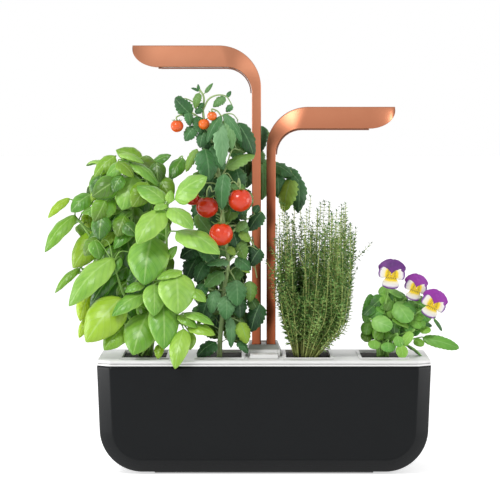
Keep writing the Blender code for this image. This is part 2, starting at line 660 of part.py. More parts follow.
def cylinder_mesh(radius, base, height, steps=SMALL_ROUND_STEPS, axis="Z", end_radius=None):
    """A cylinder or cone that starts at base and runs along an axis."""
    made = bmesh.new()
    top = radius if end_radius is None else end_radius
    bmesh.ops.create_cone(made, cap_ends=True, segments=steps, radius1=radius, radius2=top, depth=height)
    bmesh.ops.translate(made, vec=(0, 0, height / 2), verts=made.verts)
    turns = {"X": Matrix.Rotation(math.pi / 2, 3, "Y"), "Y": Matrix.Rotation(-math.pi / 2, 3, "X")}
    if axis in turns:
        bmesh.ops.rotate(made, matrix=turns[axis], verts=made.verts)
    bmesh.ops.translate(made, vec=base, verts=made.verts)
    return made


def merge(*meshes):
    """Several bmeshes in one, still as separate closed shapes."""
    made = bmesh.new()
    for one in meshes:
        shape = bpy.data.meshes.new("shape")
        one.to_mesh(shape)
        one.free()
        made.from_mesh(shape)
        bpy.data.meshes.remove(shape)
    return made


def rounded_box(low, high, radius, steps=2, upright_only=True):
    """A box whose upright edges are rounded."""
    made = box_mesh(low, high)
    upright = [e for e in made.edges if abs(e.verts[0].co.z - e.verts[1].co.z) > radius or not upright_only]
    bmesh.ops.bevel(made, geom=upright, offset=radius, segments=steps, affect="EDGES", profile=0.5)
    return made


def boolean(target, operation, *others):
    """Adds a Boolean modifier for each other shape, which becomes a cutter object."""
    for index, other in enumerate(others):
        tool = object_from(other, f"{target.name}_{operation.lower()}_{len(target.modifiers)}_{index}")
        modifier = target.modifiers.new(f"{operation.lower()}_{len(target.modifiers)}", "BOOLEAN")
        modifier.operation = operation
        modifier.object = tool
        modifier.solver = "EXACT"
        modifier.use_self = operation == "UNION"
    return target


def cut(target, *others):
    return boolean(target, "DIFFERENCE", *others)


def join(target, *others):
    return boolean(target, "UNION", *others)


def smooth(target, angle=35):
    target.data.shade_smooth()
    target.data.set_sharp_from_angle(angle=math.radians(angle))
    return target


def tub_profile(inset, floor_z, top_z):
    """The pot's outline in front view, moved in by inset: right side, round corner, floor, and mirrored."""
    lean = math.tan(POT_SIDE_DRAFT)
    radius = POT_CORNER_RADIUS - inset
    side_at_top = POT_WIDTH / 2 - (POT_RIM_Z - top_z) * lean - inset / math.cos(POT_SIDE_DRAFT)
    centre_z = floor_z + radius
    centre_x = side_at_top - (top_z - centre_z) * lean - radius / math.cos(POT_SIDE_DRAFT)
    right = [(side_at_top, top_z)]
    for step in range(POT_CORNER_STEPS + 1):
        angle = -POT_SIDE_DRAFT - (math.pi / 2 - POT_SIDE_DRAFT) * step / POT_CORNER_STEPS
        right.append((centre_x + radius * math.cos(angle), centre_z + radius * math.sin(angle)))
    return right + [(-x, z) for x, z in reversed(right)]


def tub_mesh(inset, floor_z, top_z):
    """The pot's solid shape, moved in by inset, with its front and back edges chamfered but not its top."""
    half_depth = POT_DEPTH / 2 - inset
    chamfer = POT_CHAMFER - inset * INSET_CHAMFER_SHARE
    made = bmesh.new()
    front = made.faces.new([made.verts.new((x, -half_depth, z)) for x,
                            z in tub_profile(inset, floor_z, top_z)])
    extruded = bmesh.ops.extrude_face_region(made, geom=[front])
    moved = [v for v in extruded["geom"] if isinstance(v, bmesh.types.BMVert)]
    bmesh.ops.translate(made, vec=(0, 2 * half_depth, 0), verts=moved)
    bmesh.ops.recalc_face_normals(made, faces=made.faces)

    def is_rim(edge):
        a, b = (v.co for v in edge.verts)
        return abs(a.y - b.y) < half_depth and min(a.z, b.z) < top_z - SEAT_GAP

    rims = [e for e in made.edges if is_rim(e)]
    bmesh.ops.bevel(made, geom=rims, offset=chamfer, segments=1, affect="EDGES", clamp_overlap=False)
    return made


def plan_mesh(inset, base_z, top_z):
    """The pot's outline from above, a rectangle with cut corners, moved in by inset and given a height."""
    half_x = POT_WIDTH / 2 - inset
    half_y = POT_DEPTH / 2 - inset
    chamfer = POT_CHAMFER - inset * INSET_CHAMFER_SHARE
    made = box_mesh((-half_x, -half_y, base_z), (half_x, half_y, top_z))
    upright = [e for e in made.edges if abs(e.verts[0].co.x - e.verts[1].co.x) < chamfer
               and abs(e.verts[0].co.y - e.verts[1].co.y) < chamfer]
    bmesh.ops.bevel(made, geom=upright, offset=chamfer, segments=1, affect="EDGES")
    return made


def make_pot():
    half_x, half_y = PAD_LENGTH / 2, PAD_DEPTH / 2
    pad = rounded_box((-half_x, -half_y, 0), (half_x, half_y, PAD_THICKNESS), PAD_CORNER)
    object_from(pad, "base_pad", "rubber")
    shell = object_from(tub_mesh(0, POT_FLOOR_Z, POT_RIM_Z), "pot_shell", "black")
    cut(shell, tub_mesh(POT_WALL, POT_FLOOR_Z + POT_WALL, POT_RIM_Z + OVERRUN))
    smooth(shell)


def make_tank():
    outer = POT_WALL + TANK_CLEARANCE
    top_z = FLANGE_Z + TANK_FLANGE
    tank = object_from(tub_mesh(outer, TANK_FLOOR_Z, top_z), "water_tank", "white")
    join(tank, plan_mesh(0, FLANGE_Z, top_z))
    cut(tank, tub_mesh(TANK_INSET, TANK_FLOOR_Z + TANK_WALL, top_z + OVERRUN))
    smooth(tank)


def well_box(centre_x, grow, base_z, top_z):
    """A box over one well's opening, grown on each side."""
    half_x, half_y = WELL_HALF_X + grow, WELL_HALF_Y + grow
    return box_mesh((centre_x - half_x, -half_y, base_z), (centre_x + half_x, half_y, top_z))


def make_deck():
    """The white lid: a plate with a skirt, a lip that finds the tank, four wells and the centre openings."""
    deck = object_from(plan_mesh(0, DECK_SKIRT_Z, DECK_TOP_Z), "deck", "white")
    edge = deck.modifiers.new("edge", "BEVEL")
    edge.width = DECK_EDGE_BEVEL
    edge.segments = 1
    edge.limit_method = "ANGLE"
    edge.angle_limit = math.radians(60)
    plate_z = DECK_TOP_Z - DECK_PLATE
    lip_outer = TANK_INSET + DECK_LIP_GAP
    lip_inner = lip_outer + DECK_LIP_WALL
    join(deck, plan_mesh(lip_outer, DECK_SKIRT_Z - DECK_LIP_DEPTH, plate_z + DECK_PLATE / 2))
    cut(deck, plan_mesh(lip_inner, DECK_SKIRT_Z - DECK_LIP_DEPTH - OVERRUN, plate_z))
    for centre_x in POD_CENTRES.values():
        join(deck, well_box(centre_x, WELL_WALL, WELL_BASE_Z, plate_z + DECK_PLATE / 2))
    for centre_x in POD_CENTRES.values():
        cut(deck, well_box(centre_x, 0, WELL_BASE_Z - OVERRUN, DECK_TOP_Z + OVERRUN))
    board_half = BOARD_WIDTH / 2
    post = (board_half - 2 * SCREW_RADIUS, BOARD_FRONT_Y + SCREW_RADIUS)
    for side in (-1, 1):
        join(deck, cylinder_mesh(2 * SCREW_RADIUS, (side * post[0], post[1] + SCREW_RADIUS,
                                                    plate_z + DECK_PLATE / 2),
                                 DECK_PLATE / 2 + BOARD_STANDOFF))
    openings = (
        ((-GUIDE_HALF_X - SLIDE_GAP, GUIDE_FRONT_Y - SLIDE_GAP),
         (GUIDE_HALF_X + SLIDE_GAP, GUIDE_BACK_Y + SLIDE_GAP)),
        ((-FILLER_WIDTH / 2 - SLIDE_GAP, FILLER_Y - FILLER_DEPTH / 2 - SLIDE_GAP),
         (FILLER_WIDTH / 2 + SLIDE_GAP, FILLER_Y + FILLER_DEPTH / 2 + SLIDE_GAP)),
    )
    for low, high in openings:
        cut(deck, box_mesh((*low, DECK_SKIRT_Z - OVERRUN), (*high, DECK_TOP_Z + OVERRUN)))
    return deck


def frustum(half_base, half_top, front, front_slope, back, back_slope, base_z, top_z):
    """A box whose four sides lean in towards its top."""
    made = box_mesh((-half_base, front, base_z), (half_base, back, top_z))
    middle_z = (base_z + top_z) / 2
    for v in made.verts:
        if v.co.z > middle_z:
            v.co.x = math.copysign(half_top, v.co.x)
            v.co.y = front + front_slope if v.co.y < (front + back) / 2 else back - back_slope
    return made


def make_console():
    """The hood over the masts, the control board and the socket."""
    rise = CONSOLE_TOP_Z - POD_SEAT_Z
    outer = frustum(CONSOLE_BASE_WIDTH / 2, CONSOLE_TOP_WIDTH / 2, CONSOLE_FRONT_Y, CONSOLE_FRONT_SLOPE,
                    CONSOLE_BACK_Y, CONSOLE_BACK_SLOPE, POD_SEAT_Z, CONSOLE_TOP_Z)
    console = object_from(outer, "mast_console", "frosted")
    lower = (rise + OVERRUN) / rise
    spread = (CONSOLE_BASE_WIDTH - CONSOLE_TOP_WIDTH) / 2
    base_half = CONSOLE_TOP_WIDTH / 2 + spread * lower - CONSOLE_WALL
    inner = frustum(base_half, CONSOLE_TOP_WIDTH / 2 - CONSOLE_WALL,
                    CONSOLE_FRONT_Y + CONSOLE_WALL - CONSOLE_FRONT_SLOPE * (lower - 1),
                    CONSOLE_FRONT_SLOPE * lower,
                    CONSOLE_BACK_Y - CONSOLE_WALL + CONSOLE_BACK_SLOPE * (lower - 1),
                    CONSOLE_BACK_SLOPE * lower,
                    POD_SEAT_Z - OVERRUN, CONSOLE_CEILING_Z)
    cut(console, inner)
    for side in (-1, 1):
        near, far = sorted((side * (MAST_INNER_X - SLIDE_GAP),
                            side * (MAST_INNER_X + MAST_THICKNESS + SLIDE_GAP)))
        cut(console, box_mesh((near, MAST_Y - MAST_DEPTH / 2 - SLIDE_GAP, CONSOLE_CEILING_Z - OVERRUN),
                              (far, MAST_Y + MAST_DEPTH / 2 + SLIDE_GAP, CONSOLE_TOP_Z + OVERRUN)))
    cut(console, cylinder_mesh(BUTTON_RADIUS + SLIDE_GAP, (0, BUTTON_Y, CONSOLE_CEILING_Z - SLIDE_GAP),
                               CONSOLE_WALL + OVERRUN, ROUND_STEPS))
    socket_z = BOARD_TOP_Z + SEAT_GAP + JACK_HEIGHT / 2
    cut(console, cylinder_mesh(JACK_COLLAR_RADIUS + SLIDE_GAP,
                               (0, BOARD_FRONT_Y + BOARD_LENGTH - JACK_LENGTH, socket_z),
                               JACK_LENGTH + 2 * OVERRUN, axis="Y"))


def make_guide():
    """Two sleeves for the masts in one moulding, with a flange on the deck and a bracket for the pump."""
    guide = object_from(box_mesh((-GUIDE_HALF_X, GUIDE_FRONT_Y, GUIDE_BASE_Z),
                                 (GUIDE_HALF_X, GUIDE_BACK_Y, GUIDE_TOP_Z)), "mast_guide", "white")
    half_flange = GUIDE_FLANGE_WIDTH / 2
    join(guide, box_mesh((-half_flange, GUIDE_FRONT_Y - GUIDE_FLANGE_MARGIN, POD_SEAT_Z),
                         (half_flange, GUIDE_BACK_Y + GUIDE_FLANGE_MARGIN, GUIDE_TOP_Z)))
    bracket_z = PUMP_TOP_Z + SEAT_GAP
    join(guide, box_mesh((-BRACKET_WIDTH / 2, GUIDE_BACK_Y - GUIDE_WALL / 2, bracket_z),
                         (BRACKET_WIDTH / 2, PUMP_Y + PUMP_RADIUS, bracket_z + BRACKET_THICKNESS)))
    wide = MAST_THICKNESS + 2 * SLIDE_GAP
    for side in (-1, 1):
        middle = side * (MAST_INNER_X + MAST_THICKNESS / 2)
        front = MAST_Y - MAST_DEPTH / 2 - SLIDE_GAP
        cut(guide, box_mesh((middle - wide / 2, front, GUIDE_BASE_Z + GUIDE_FLOOR),
                            (middle + wide / 2, MAST_Y + MAST_DEPTH / 2 + SLIDE_GAP, GUIDE_TOP_Z + OVERRUN)))
        cut(guide, cylinder_mesh(GUIDE_WALL, (middle, MAST_Y, GUIDE_BASE_Z - OVERRUN),
                                 GUIDE_FLOOR + 2 * OVERRUN))
        top = GUIDE_TOP_Z - SPRING_TOP_DROP
        cut(guide, box_mesh((middle - SPRING_WIDTH / 2 - SLIDE_GAP, front - SPRING_POCKET,
                             top - SPRING_LENGTH - 2 * SLIDE_GAP),
                            (middle + SPRING_WIDTH / 2 + SLIDE_GAP, front + SLIDE_GAP, top)))
    cut(guide, cylinder_mesh(SPIGOT_RADIUS + SLIDE_GAP, (0, PUMP_Y, bracket_z - OVERRUN),
                             BRACKET_THICKNESS + 2 * OVERRUN))
    for side in (-1, 1):
        cut(guide, cylinder_mesh(SCREW_RADIUS + SLIDE_GAP, (side * SCREW_SPACING / 2, PUMP_Y,
                                                            bracket_z - OVERRUN),
                                 BRACKET_THICKNESS + 2 * OVERRUN))


def make_springs():
    """A leaf in each sleeve's front wall, pressed on the mast."""
    for name, side in (("left", -1), ("right", 1)):
        middle = side * (MAST_INNER_X + MAST_THICKNESS / 2)
        back = MAST_Y - MAST_DEPTH / 2 - 2 * SLIDE_GAP
        front = back + SLIDE_GAP - SPRING_POCKET + SEAT_GAP
        top = GUIDE_TOP_Z - SPRING_TOP_DROP - SLIDE_GAP
        leaf = box_mesh((middle - SPRING_WIDTH / 2, front, top - SPRING_LENGTH), (middle + SPRING_WIDTH / 2,
                        front + SPRING_THICKNESS, top))
        bulge = box_mesh((middle - SPRING_WIDTH / 2, front + SPRING_THICKNESS / 2,
                          top - SPRING_LENGTH * 2 / 3),
                         (middle + SPRING_WIDTH / 2, back, top - SPRING_LENGTH / 3))
        join(object_from(leaf, f"mast_spring_{name}", "steel"), bulge)


def make_filler():
    """The filler's funnel, its flap with a window, the pin, and the float whose stem shows the level."""
    half_x, half_y = FILLER_WIDTH / 2, FILLER_DEPTH / 2
    base_z = POD_SEAT_Z - FILLER_LENGTH
    top_z = POD_SEAT_Z + FILLER_FLANGE
    funnel = object_from(box_mesh((-half_x, FILLER_Y - half_y, base_z), (half_x, FILLER_Y + half_y, top_z)),
                         "filler_funnel", "white")
    margin = FILLER_FLANGE_MARGIN
    join(funnel, box_mesh((-half_x - margin, FILLER_Y - half_y - margin, POD_SEAT_Z),
                          (half_x + margin, FILLER_Y + half_y, top_z)))
    ear_half = FLAP_BARREL_RADIUS
    ear_x = FLAP_WIDTH / 2 - FLAP_EAR
    for side in (-1, 1):
        near, far = sorted((side * ear_x, side * (ear_x + FLAP_EAR)))
        join(funnel, box_mesh((near, FLAP_AXIS_Y - ear_half, POD_SEAT_Z),
                              (far, FLAP_AXIS_Y + ear_half, FLAP_AXIS_Z)),
             box_mesh((min(near, side * half_x / 2), FILLER_Y + half_y - FILLER_WALL / 2, POD_SEAT_Z),
                      (max(far, side * half_x / 2), FLAP_AXIS_Y + ear_half, top_z)),
             cylinder_mesh(ear_half, (near, FLAP_AXIS_Y, FLAP_AXIS_Z), FLAP_EAR, axis="X"))
    wall = FILLER_WALL
    cut(funnel, box_mesh((-half_x + wall, FILLER_Y - half_y + wall, base_z + FILLER_GRID),
                         (half_x - wall, FILLER_Y + half_y - wall, top_z + OVERRUN)))
    cut(funnel, cylinder_mesh(FLOAT_STEM_RADIUS + FLOAT_STEM_GAP, (0, FILLER_Y, base_z - OVERRUN),
                              FILLER_GRID + 2 * OVERRUN))
    hole_x = half_x - wall - FILLER_GRID
    for side in (-1, 1):
        near, far = sorted((side * (FLOAT_STEM_RADIUS + FILLER_GRID), side * hole_x))
        cut(funnel, box_mesh((near, FILLER_Y - half_y / 2, base_z - OVERRUN), (far, FILLER_Y + half_y / 2,
                             base_z + FILLER_GRID + OVERRUN)))
    cut(funnel, cylinder_mesh(FLAP_PIN_RADIUS + SLIDE_GAP, (-FLAP_WIDTH, FLAP_AXIS_Y, FLAP_AXIS_Z),
                              2 * FLAP_WIDTH, axis="X"))

    flap_half = FLAP_WIDTH / 2 - FLAP_EAR - SLIDE_GAP
    flap_z = top_z + SEAT_GAP
    flap = object_from(box_mesh((-flap_half, FLAP_FRONT_Y, flap_z),
                                (flap_half, FLAP_AXIS_Y, flap_z + FLAP_THICKNESS)),
                       "filler_flap", "white")
    join(flap, cylinder_mesh(FLAP_BARREL_RADIUS, (-flap_half, FLAP_AXIS_Y, FLAP_AXIS_Z), 2 * flap_half,
                             axis="X"))
    join(flap, box_mesh((-flap_half, FLAP_FRONT_Y - FLAP_LIP, POD_SEAT_Z),
                        (flap_half, FLAP_FRONT_Y + FLAP_LIP, flap_z + FLAP_THICKNESS / 2)))
    cut(flap, cylinder_mesh(FLAP_PIN_RADIUS + SLIDE_GAP, (-FLAP_WIDTH, FLAP_AXIS_Y, FLAP_AXIS_Z),
                            2 * FLAP_WIDTH, axis="X"))
    cut(flap, cylinder_mesh(FLAP_WINDOW_RADIUS + SLIDE_GAP, (0, FILLER_Y, flap_z - OVERRUN),
                            FLAP_THICKNESS + 2 * OVERRUN,
                            ROUND_STEPS))
    object_from(cylinder_mesh(FLAP_WINDOW_RADIUS, (0, FILLER_Y, flap_z), FLAP_THICKNESS, ROUND_STEPS),
                "flap_window", "diffuser")
    object_from(cylinder_mesh(FLAP_PIN_RADIUS, (-FLAP_WIDTH / 2, FLAP_AXIS_Y, FLAP_AXIS_Z), FLAP_WIDTH,
                              axis="X"),
                "flap_pin", "steel")

    floater = object_from(cylinder_mesh(FLOAT_RADIUS, (0, FILLER_Y, FLOAT_BASE_Z), FLOAT_HEIGHT,
                                        ROUND_STEPS),
                          "level_float", "copper")
    stem_base = FLOAT_BASE_Z + FLOAT_HEIGHT / 2
    join(floater, cylinder_mesh(FLOAT_STEM_RADIUS, (0, FILLER_Y, stem_base), FLOAT_STEM_TOP_Z - stem_base))


def star_mesh(centre, base_z):
    """The impeller's hub and blades as one outline with a height."""
    made = bmesh.new()
    half = IMPELLER_BLADE / 2
    outline = []
    for turn in range(IMPELLER_BLADES):
        for x, y in ((IMPELLER_HUB_RADIUS, -half), (IMPELLER_RADIUS, -half), (IMPELLER_RADIUS, half),
                     (IMPELLER_HUB_RADIUS, half)):
            point = Matrix.Rotation(turn * 2 * math.pi / IMPELLER_BLADES, 2) @ Vector((x, y))
            outline.append(made.verts.new((centre[0] + point.x, centre[1] + point.y, base_z)))
    base = made.faces.new(outline)
    raised = bmesh.ops.extrude_face_region(made, geom=[base])
    verts = [v for v in raised["geom"] if isinstance(v, bmesh.types.BMVert)]
    bmesh.ops.translate(made, vec=(0, 0, IMPELLER_HEIGHT), verts=verts)
    return made


def make_pump():
    """A small pump under the guide's bracket, with its cover, impeller, strainer, riser hose and screws."""
    centre = (0, PUMP_Y)
    body = object_from(cylinder_mesh(PUMP_RADIUS, (*centre, PUMP_BASE_Z), PUMP_TOP_Z - PUMP_BASE_Z,
                                     ROUND_STEPS),
                       "pump_body", "rubber")
    join(body, cylinder_mesh(SPIGOT_RADIUS, (*centre, PUMP_TOP_Z - PUMP_WALL), SPIGOT_HEIGHT + PUMP_WALL))
    cut(body, cylinder_mesh(PUMP_RADIUS - PUMP_WALL, (*centre, PUMP_BASE_Z - OVERRUN),
                            PUMP_CHAMBER_HEIGHT + OVERRUN, ROUND_STEPS))
    shaft_top = PUMP_BASE_Z + PUMP_CHAMBER_HEIGHT + PUMP_WALL
    cut(body, cylinder_mesh(SPIGOT_BORE, (*centre, PUMP_BASE_Z),
                            PUMP_TOP_Z - PUMP_BASE_Z + SPIGOT_HEIGHT + OVERRUN))
    cut(body, cylinder_mesh(PUMP_SHAFT_RADIUS + SLIDE_GAP, (*centre, PUMP_BASE_Z), shaft_top - PUMP_BASE_Z))
    for side in (-1, 1):
        cut(body, cylinder_mesh(SCREW_RADIUS + SLIDE_GAP, (side * SCREW_SPACING / 2, PUMP_Y,
                                                           PUMP_TOP_Z - SCREW_LENGTH), SCREW_LENGTH
                                + OVERRUN))

    cover_z = PUMP_BASE_Z - SEAT_GAP - PUMP_COVER_HEIGHT
    cover = object_from(cylinder_mesh(PUMP_RADIUS, (*centre, cover_z), PUMP_COVER_HEIGHT, ROUND_STEPS),
                        "pump_cover", "rubber")
    for turn in range(4):
        angle = math.pi / 4 + turn * math.pi / 2
        reach = PUMP_PORT_RADIUS + SPIGOT_RADIUS
        place = (reach * math.cos(angle), PUMP_Y + reach * math.sin(angle), cover_z - OVERRUN)
        cut(cover, cylinder_mesh(SPIGOT_RADIUS, place, PUMP_COVER_HEIGHT + 2 * OVERRUN))
    cut(cover, cylinder_mesh(PUMP_SHAFT_RADIUS + SLIDE_GAP, (*centre, cover_z + PUMP_COVER_HEIGHT / 2),
                             PUMP_COVER_HEIGHT))

    wheel_z = PUMP_BASE_Z + IMPELLER_GAP
    wheel = object_from(star_mesh(centre, wheel_z), "impeller", "white")
    shaft_z = cover_z + PUMP_COVER_HEIGHT / 2 + SEAT_GAP
    join(wheel, cylinder_mesh(PUMP_SHAFT_RADIUS, (*centre, shaft_z), shaft_top - SEAT_GAP - shaft_z))

    object_from(cylinder_mesh(PUMP_RADIUS - SLIDE_GAP, (*centre, STRAINER_Z), STRAINER_THICKNESS,
                              ROUND_STEPS),
                "intake_strainer", "felt")

    bracket_top = PUMP_TOP_Z + SEAT_GAP + BRACKET_THICKNESS
    hose_z = bracket_top + SEAT_GAP
    hose = object_from(cylinder_mesh(HOSE_RADIUS, (*centre, hose_z), CHANNEL_PORT_Z - hose_z, ROUND_STEPS),
                       "riser_hose", "frosted")
    reach = channel_inner_x() - SLIDE_GAP + CHANNEL_WALL
    join(hose, cylinder_mesh(HOSE_RADIUS, (-reach, PUMP_Y, CHANNEL_PORT_Z), 2 * reach, axis="X"))
    cut(hose, cylinder_mesh(SPIGOT_RADIUS + SLIDE_GAP, (*centre, hose_z - OVERRUN),
                            CHANNEL_PORT_Z - hose_z + OVERRUN))
    cut(hose, cylinder_mesh(SPIGOT_RADIUS + SLIDE_GAP, (-reach - OVERRUN, PUMP_Y, CHANNEL_PORT_Z),
                            2 * (reach + OVERRUN), axis="X"))
    for name, side in (("left", -1), ("right", 1)):
        place = (side * SCREW_SPACING / 2, PUMP_Y, bracket_top + SEAT_GAP)
        screw = object_from(cylinder_mesh(SCREW_HEAD_RADIUS, place, SCREW_HEAD_HEIGHT),
                            f"pump_screw_{name}", "steel")
        shank = BRACKET_THICKNESS + SCREW_LENGTH - 2 * SEAT_GAP
        join(screw, cylinder_mesh(SCREW_RADIUS, (place[0], PUMP_Y, place[2] - shank),
                                  shank + SCREW_HEAD_HEIGHT / 2))


def channel_inner_x():
    """The near face of a channel's cavity, which clips round the outside of the wells."""
    return POD_INNER_X - WELL_HALF_X - WELL_WALL - SLIDE_GAP


def make_channels():
    near = channel_inner_x()
    far = POD_INNER_X + POD_PITCH + WELL_HALF_X + WELL_WALL + SLIDE_GAP
    half_y = WELL_HALF_Y + WELL_WALL + SLIDE_GAP
    wall = CHANNEL_WALL
    top_z = WELL_BASE_Z + CHANNEL_OVERLAP
    for name, side in (("left", -1), ("right", 1)):
        low, high = sorted((side * near, side * far))
        tray = object_from(box_mesh((low - wall, -half_y - wall, CHANNEL_FLOOR_Z),
                                    (high + wall, half_y + wall, top_z)),
                           f"water_channel_{name}", "frosted")
        cut(tray, box_mesh((low, -half_y, CHANNEL_FLOOR_Z + wall), (high, half_y, top_z + OVERRUN)))
        port = side * (near - wall - OVERRUN) if side > 0 else side * (near + OVERRUN)
        cut(tray, cylinder_mesh(HOSE_RADIUS + SLIDE_GAP, (port, PUMP_Y, CHANNEL_PORT_Z), wall + 2 * OVERRUN,
                                axis="X"))
        drain = (side * (POD_INNER_X + POD_PITCH / 2), -half_y / 2, CHANNEL_FLOOR_Z - OVERRUN)
        cut(tray, cylinder_mesh(CHANNEL_DRAIN_RADIUS, drain, wall + 2 * OVERRUN))


def make_pod(name, centre_x):
    half_x, half_y = WELL_HALF_X - POD_FIT, WELL_HALF_Y - POD_FIT
    base_z = POD_SEAT_Z - POD_CUP_HEIGHT
    cup = object_from(rounded_box((centre_x - half_x, -half_y, base_z),
                                  (centre_x + half_x, half_y, POD_TOP_Z - POD_RIM_THICKNESS / 2),
                                  POD_CORNER / 2), f"pod_cup_{name}", "white")
    rim_x, rim_y = POD_RIM_WIDTH / 2, POD_RIM_DEPTH / 2
    join(cup, rounded_box((centre_x - rim_x, -rim_y, POD_SEAT_Z), (centre_x + rim_x, rim_y, POD_TOP_Z),
                          POD_CORNER))
    inner_x, inner_y = half_x - POD_CUP_WALL, half_y - POD_CUP_WALL
    floor_z = base_z + POD_CUP_WALL
    cut(cup, box_mesh((centre_x - inner_x, -inner_y, floor_z),
                      (centre_x + inner_x, inner_y, POD_TOP_Z + OVERRUN)))
    slot_x = WICK_WIDTH / 2 + WICK_SLOT_GAP
    slot_y = WICK_THICKNESS / 2 + WICK_SLOT_GAP
    cut(cup, box_mesh((centre_x - slot_x, -slot_y, base_z - OVERRUN),
                      (centre_x + slot_x, slot_y, floor_z + OVERRUN)))
    fit = PLUG_FIT
    object_from(box_mesh((centre_x - inner_x + fit, -inner_y + fit, floor_z + SEAT_GAP),
                         (centre_x + inner_x - fit, inner_y - fit,
                         PLUG_TOP_Z)), f"grow_plug_{name}", "soil")
    wick_x, wick_y = WICK_WIDTH / 2, WICK_THICKNESS / 2
    object_from(box_mesh((centre_x - wick_x, -wick_y, CHANNEL_FLOOR_Z + CHANNEL_WALL + SEAT_GAP),
                         (centre_x + wick_x, wick_y, floor_z)),
                f"wick_{name}", "felt")


def arm_stations():
    """Sections along the right arm at the left arm's height: outer x, z, inner x, z, and how far round."""
    outer_x, inner_x = MAST_INNER_X, MAST_INNER_X + MAST_THICKNESS
    top_z = LEFT_HEAD_TOP_Z
    low_z = top_z - HEAD_THICKNESS
    outer_centre = (outer_x + BEND_OUTER_RADIUS, top_z - BEND_OUTER_RADIUS)
    inner_centre = (inner_x + BEND_INNER_RADIUS, low_z - BEND_INNER_RADIUS)
    tip_x = outer_x + ARM_REACH
    stations = [(outer_x, MAST_BASE_Z, inner_x, MAST_BASE_Z, 0.0)]
    for step in range(BEND_STEPS + 1):
        share = step / BEND_STEPS
        angle = share * math.pi / 2
        away, up = math.cos(angle), math.sin(angle)
        stations.append((outer_centre[0] - BEND_OUTER_RADIUS * away,
                         outer_centre[1] + BEND_OUTER_RADIUS * up,
                         inner_centre[0] - BEND_INNER_RADIUS * away, inner_centre[1] + BEND_INNER_RADIUS * up, share))
    for step in range(TIP_STEPS + 1):
        along = math.sin(math.pi / 2 * step / TIP_STEPS)
        rise = (HEAD_THICKNESS - TIP_BLUNT) * (1 - math.sqrt(max(0.0, 1 - along * along)))
        x = tip_x - TIP_LENGTH * (1 - along)
        stations.append((x, top_z, x, low_z + rise, 1.0))
    return stations


def arm_mesh(inset=0.0, until=None):
    """The arm's solid, lofted through its stations, with the walls moved in by inset."""
    made = bmesh.new()
    rings = []
    stations = arm_stations()[:until]
    for outer_x, outer_z, inner_x, inner_z, share in stations:
        blend = share * share * (3 - 2 * share)
        inner_half = (MAST_DEPTH + (HEAD_DEPTH - MAST_DEPTH) * blend) / 2 - inset
        outer_half = (MAST_OUTER_DEPTH + (HEAD_OUTER_DEPTH - MAST_OUTER_DEPTH) * blend) / 2 - inset
        outer, inner = Vector((outer_x, 0, outer_z)), Vector((inner_x, 0, inner_z))
        step = (inner - outer).normalized() * inset
        outer, inner = outer + step, inner - step
        corners = ((outer, -outer_half), (inner, -inner_half), (inner, inner_half), (outer, outer_half))
        rings.append([made.verts.new((p.x, MAST_Y + half, p.z)) for p, half in corners])
    for a, b in zip(rings, rings[1:]):
        for i in range(4):
            j = (i + 1) % 4
            made.faces.new((a[i], a[j], b[j], b[i]))
    made.faces.new(rings[0])
    made.faces.new(list(reversed(rings[-1])))
    return made


def trim_mesh():
    """A thin dark band along the arm's inner side, from the mast's top round the bend to the tip."""
    made = bmesh.new()
    rings = []
    for index, (_, _, inner_x, inner_z, share) in enumerate(arm_stations()[1:BEND_STEPS + 3]):
        blend = share * share * (3 - 2 * share)
        half = (MAST_DEPTH + (HEAD_DEPTH - MAST_DEPTH) * blend) / 2 - TRIM_MARGIN
        angle = min(1.0, index / BEND_STEPS) * math.pi / 2
        away = Vector((math.cos(angle), 0, -math.sin(angle)))
        point = Vector((inner_x, 0, inner_z)) + away * SEAT_GAP
        far = point + away * TRIM_THICKNESS
        corners = ((point, -half), (far, -half), (far, half), (point, half))
        rings.append([made.verts.new((p.x, MAST_Y + y, p.z)) for p, y in corners])
    for a, b in zip(rings, rings[1:]):
        for i in range(4):
            j = (i + 1) % 4
            made.faces.new((a[i], a[j], b[j], b[i]))
    made.faces.new(rings[0])
    made.faces.new(list(reversed(rings[-1])))
    return made


def placed(mesh_builder, side, drop):
    """Moves a right-arm shape down to its height, and mirrors it for the left arm."""
    bmesh.ops.translate(mesh_builder, vec=(0, 0, -drop), verts=mesh_builder.verts)
    if side < 0:
        bmesh.ops.scale(mesh_builder, vec=(-1, 1, 1), verts=mesh_builder.verts)
        bmesh.ops.reverse_faces(mesh_builder, faces=mesh_builder.faces)
    return mesh_builder


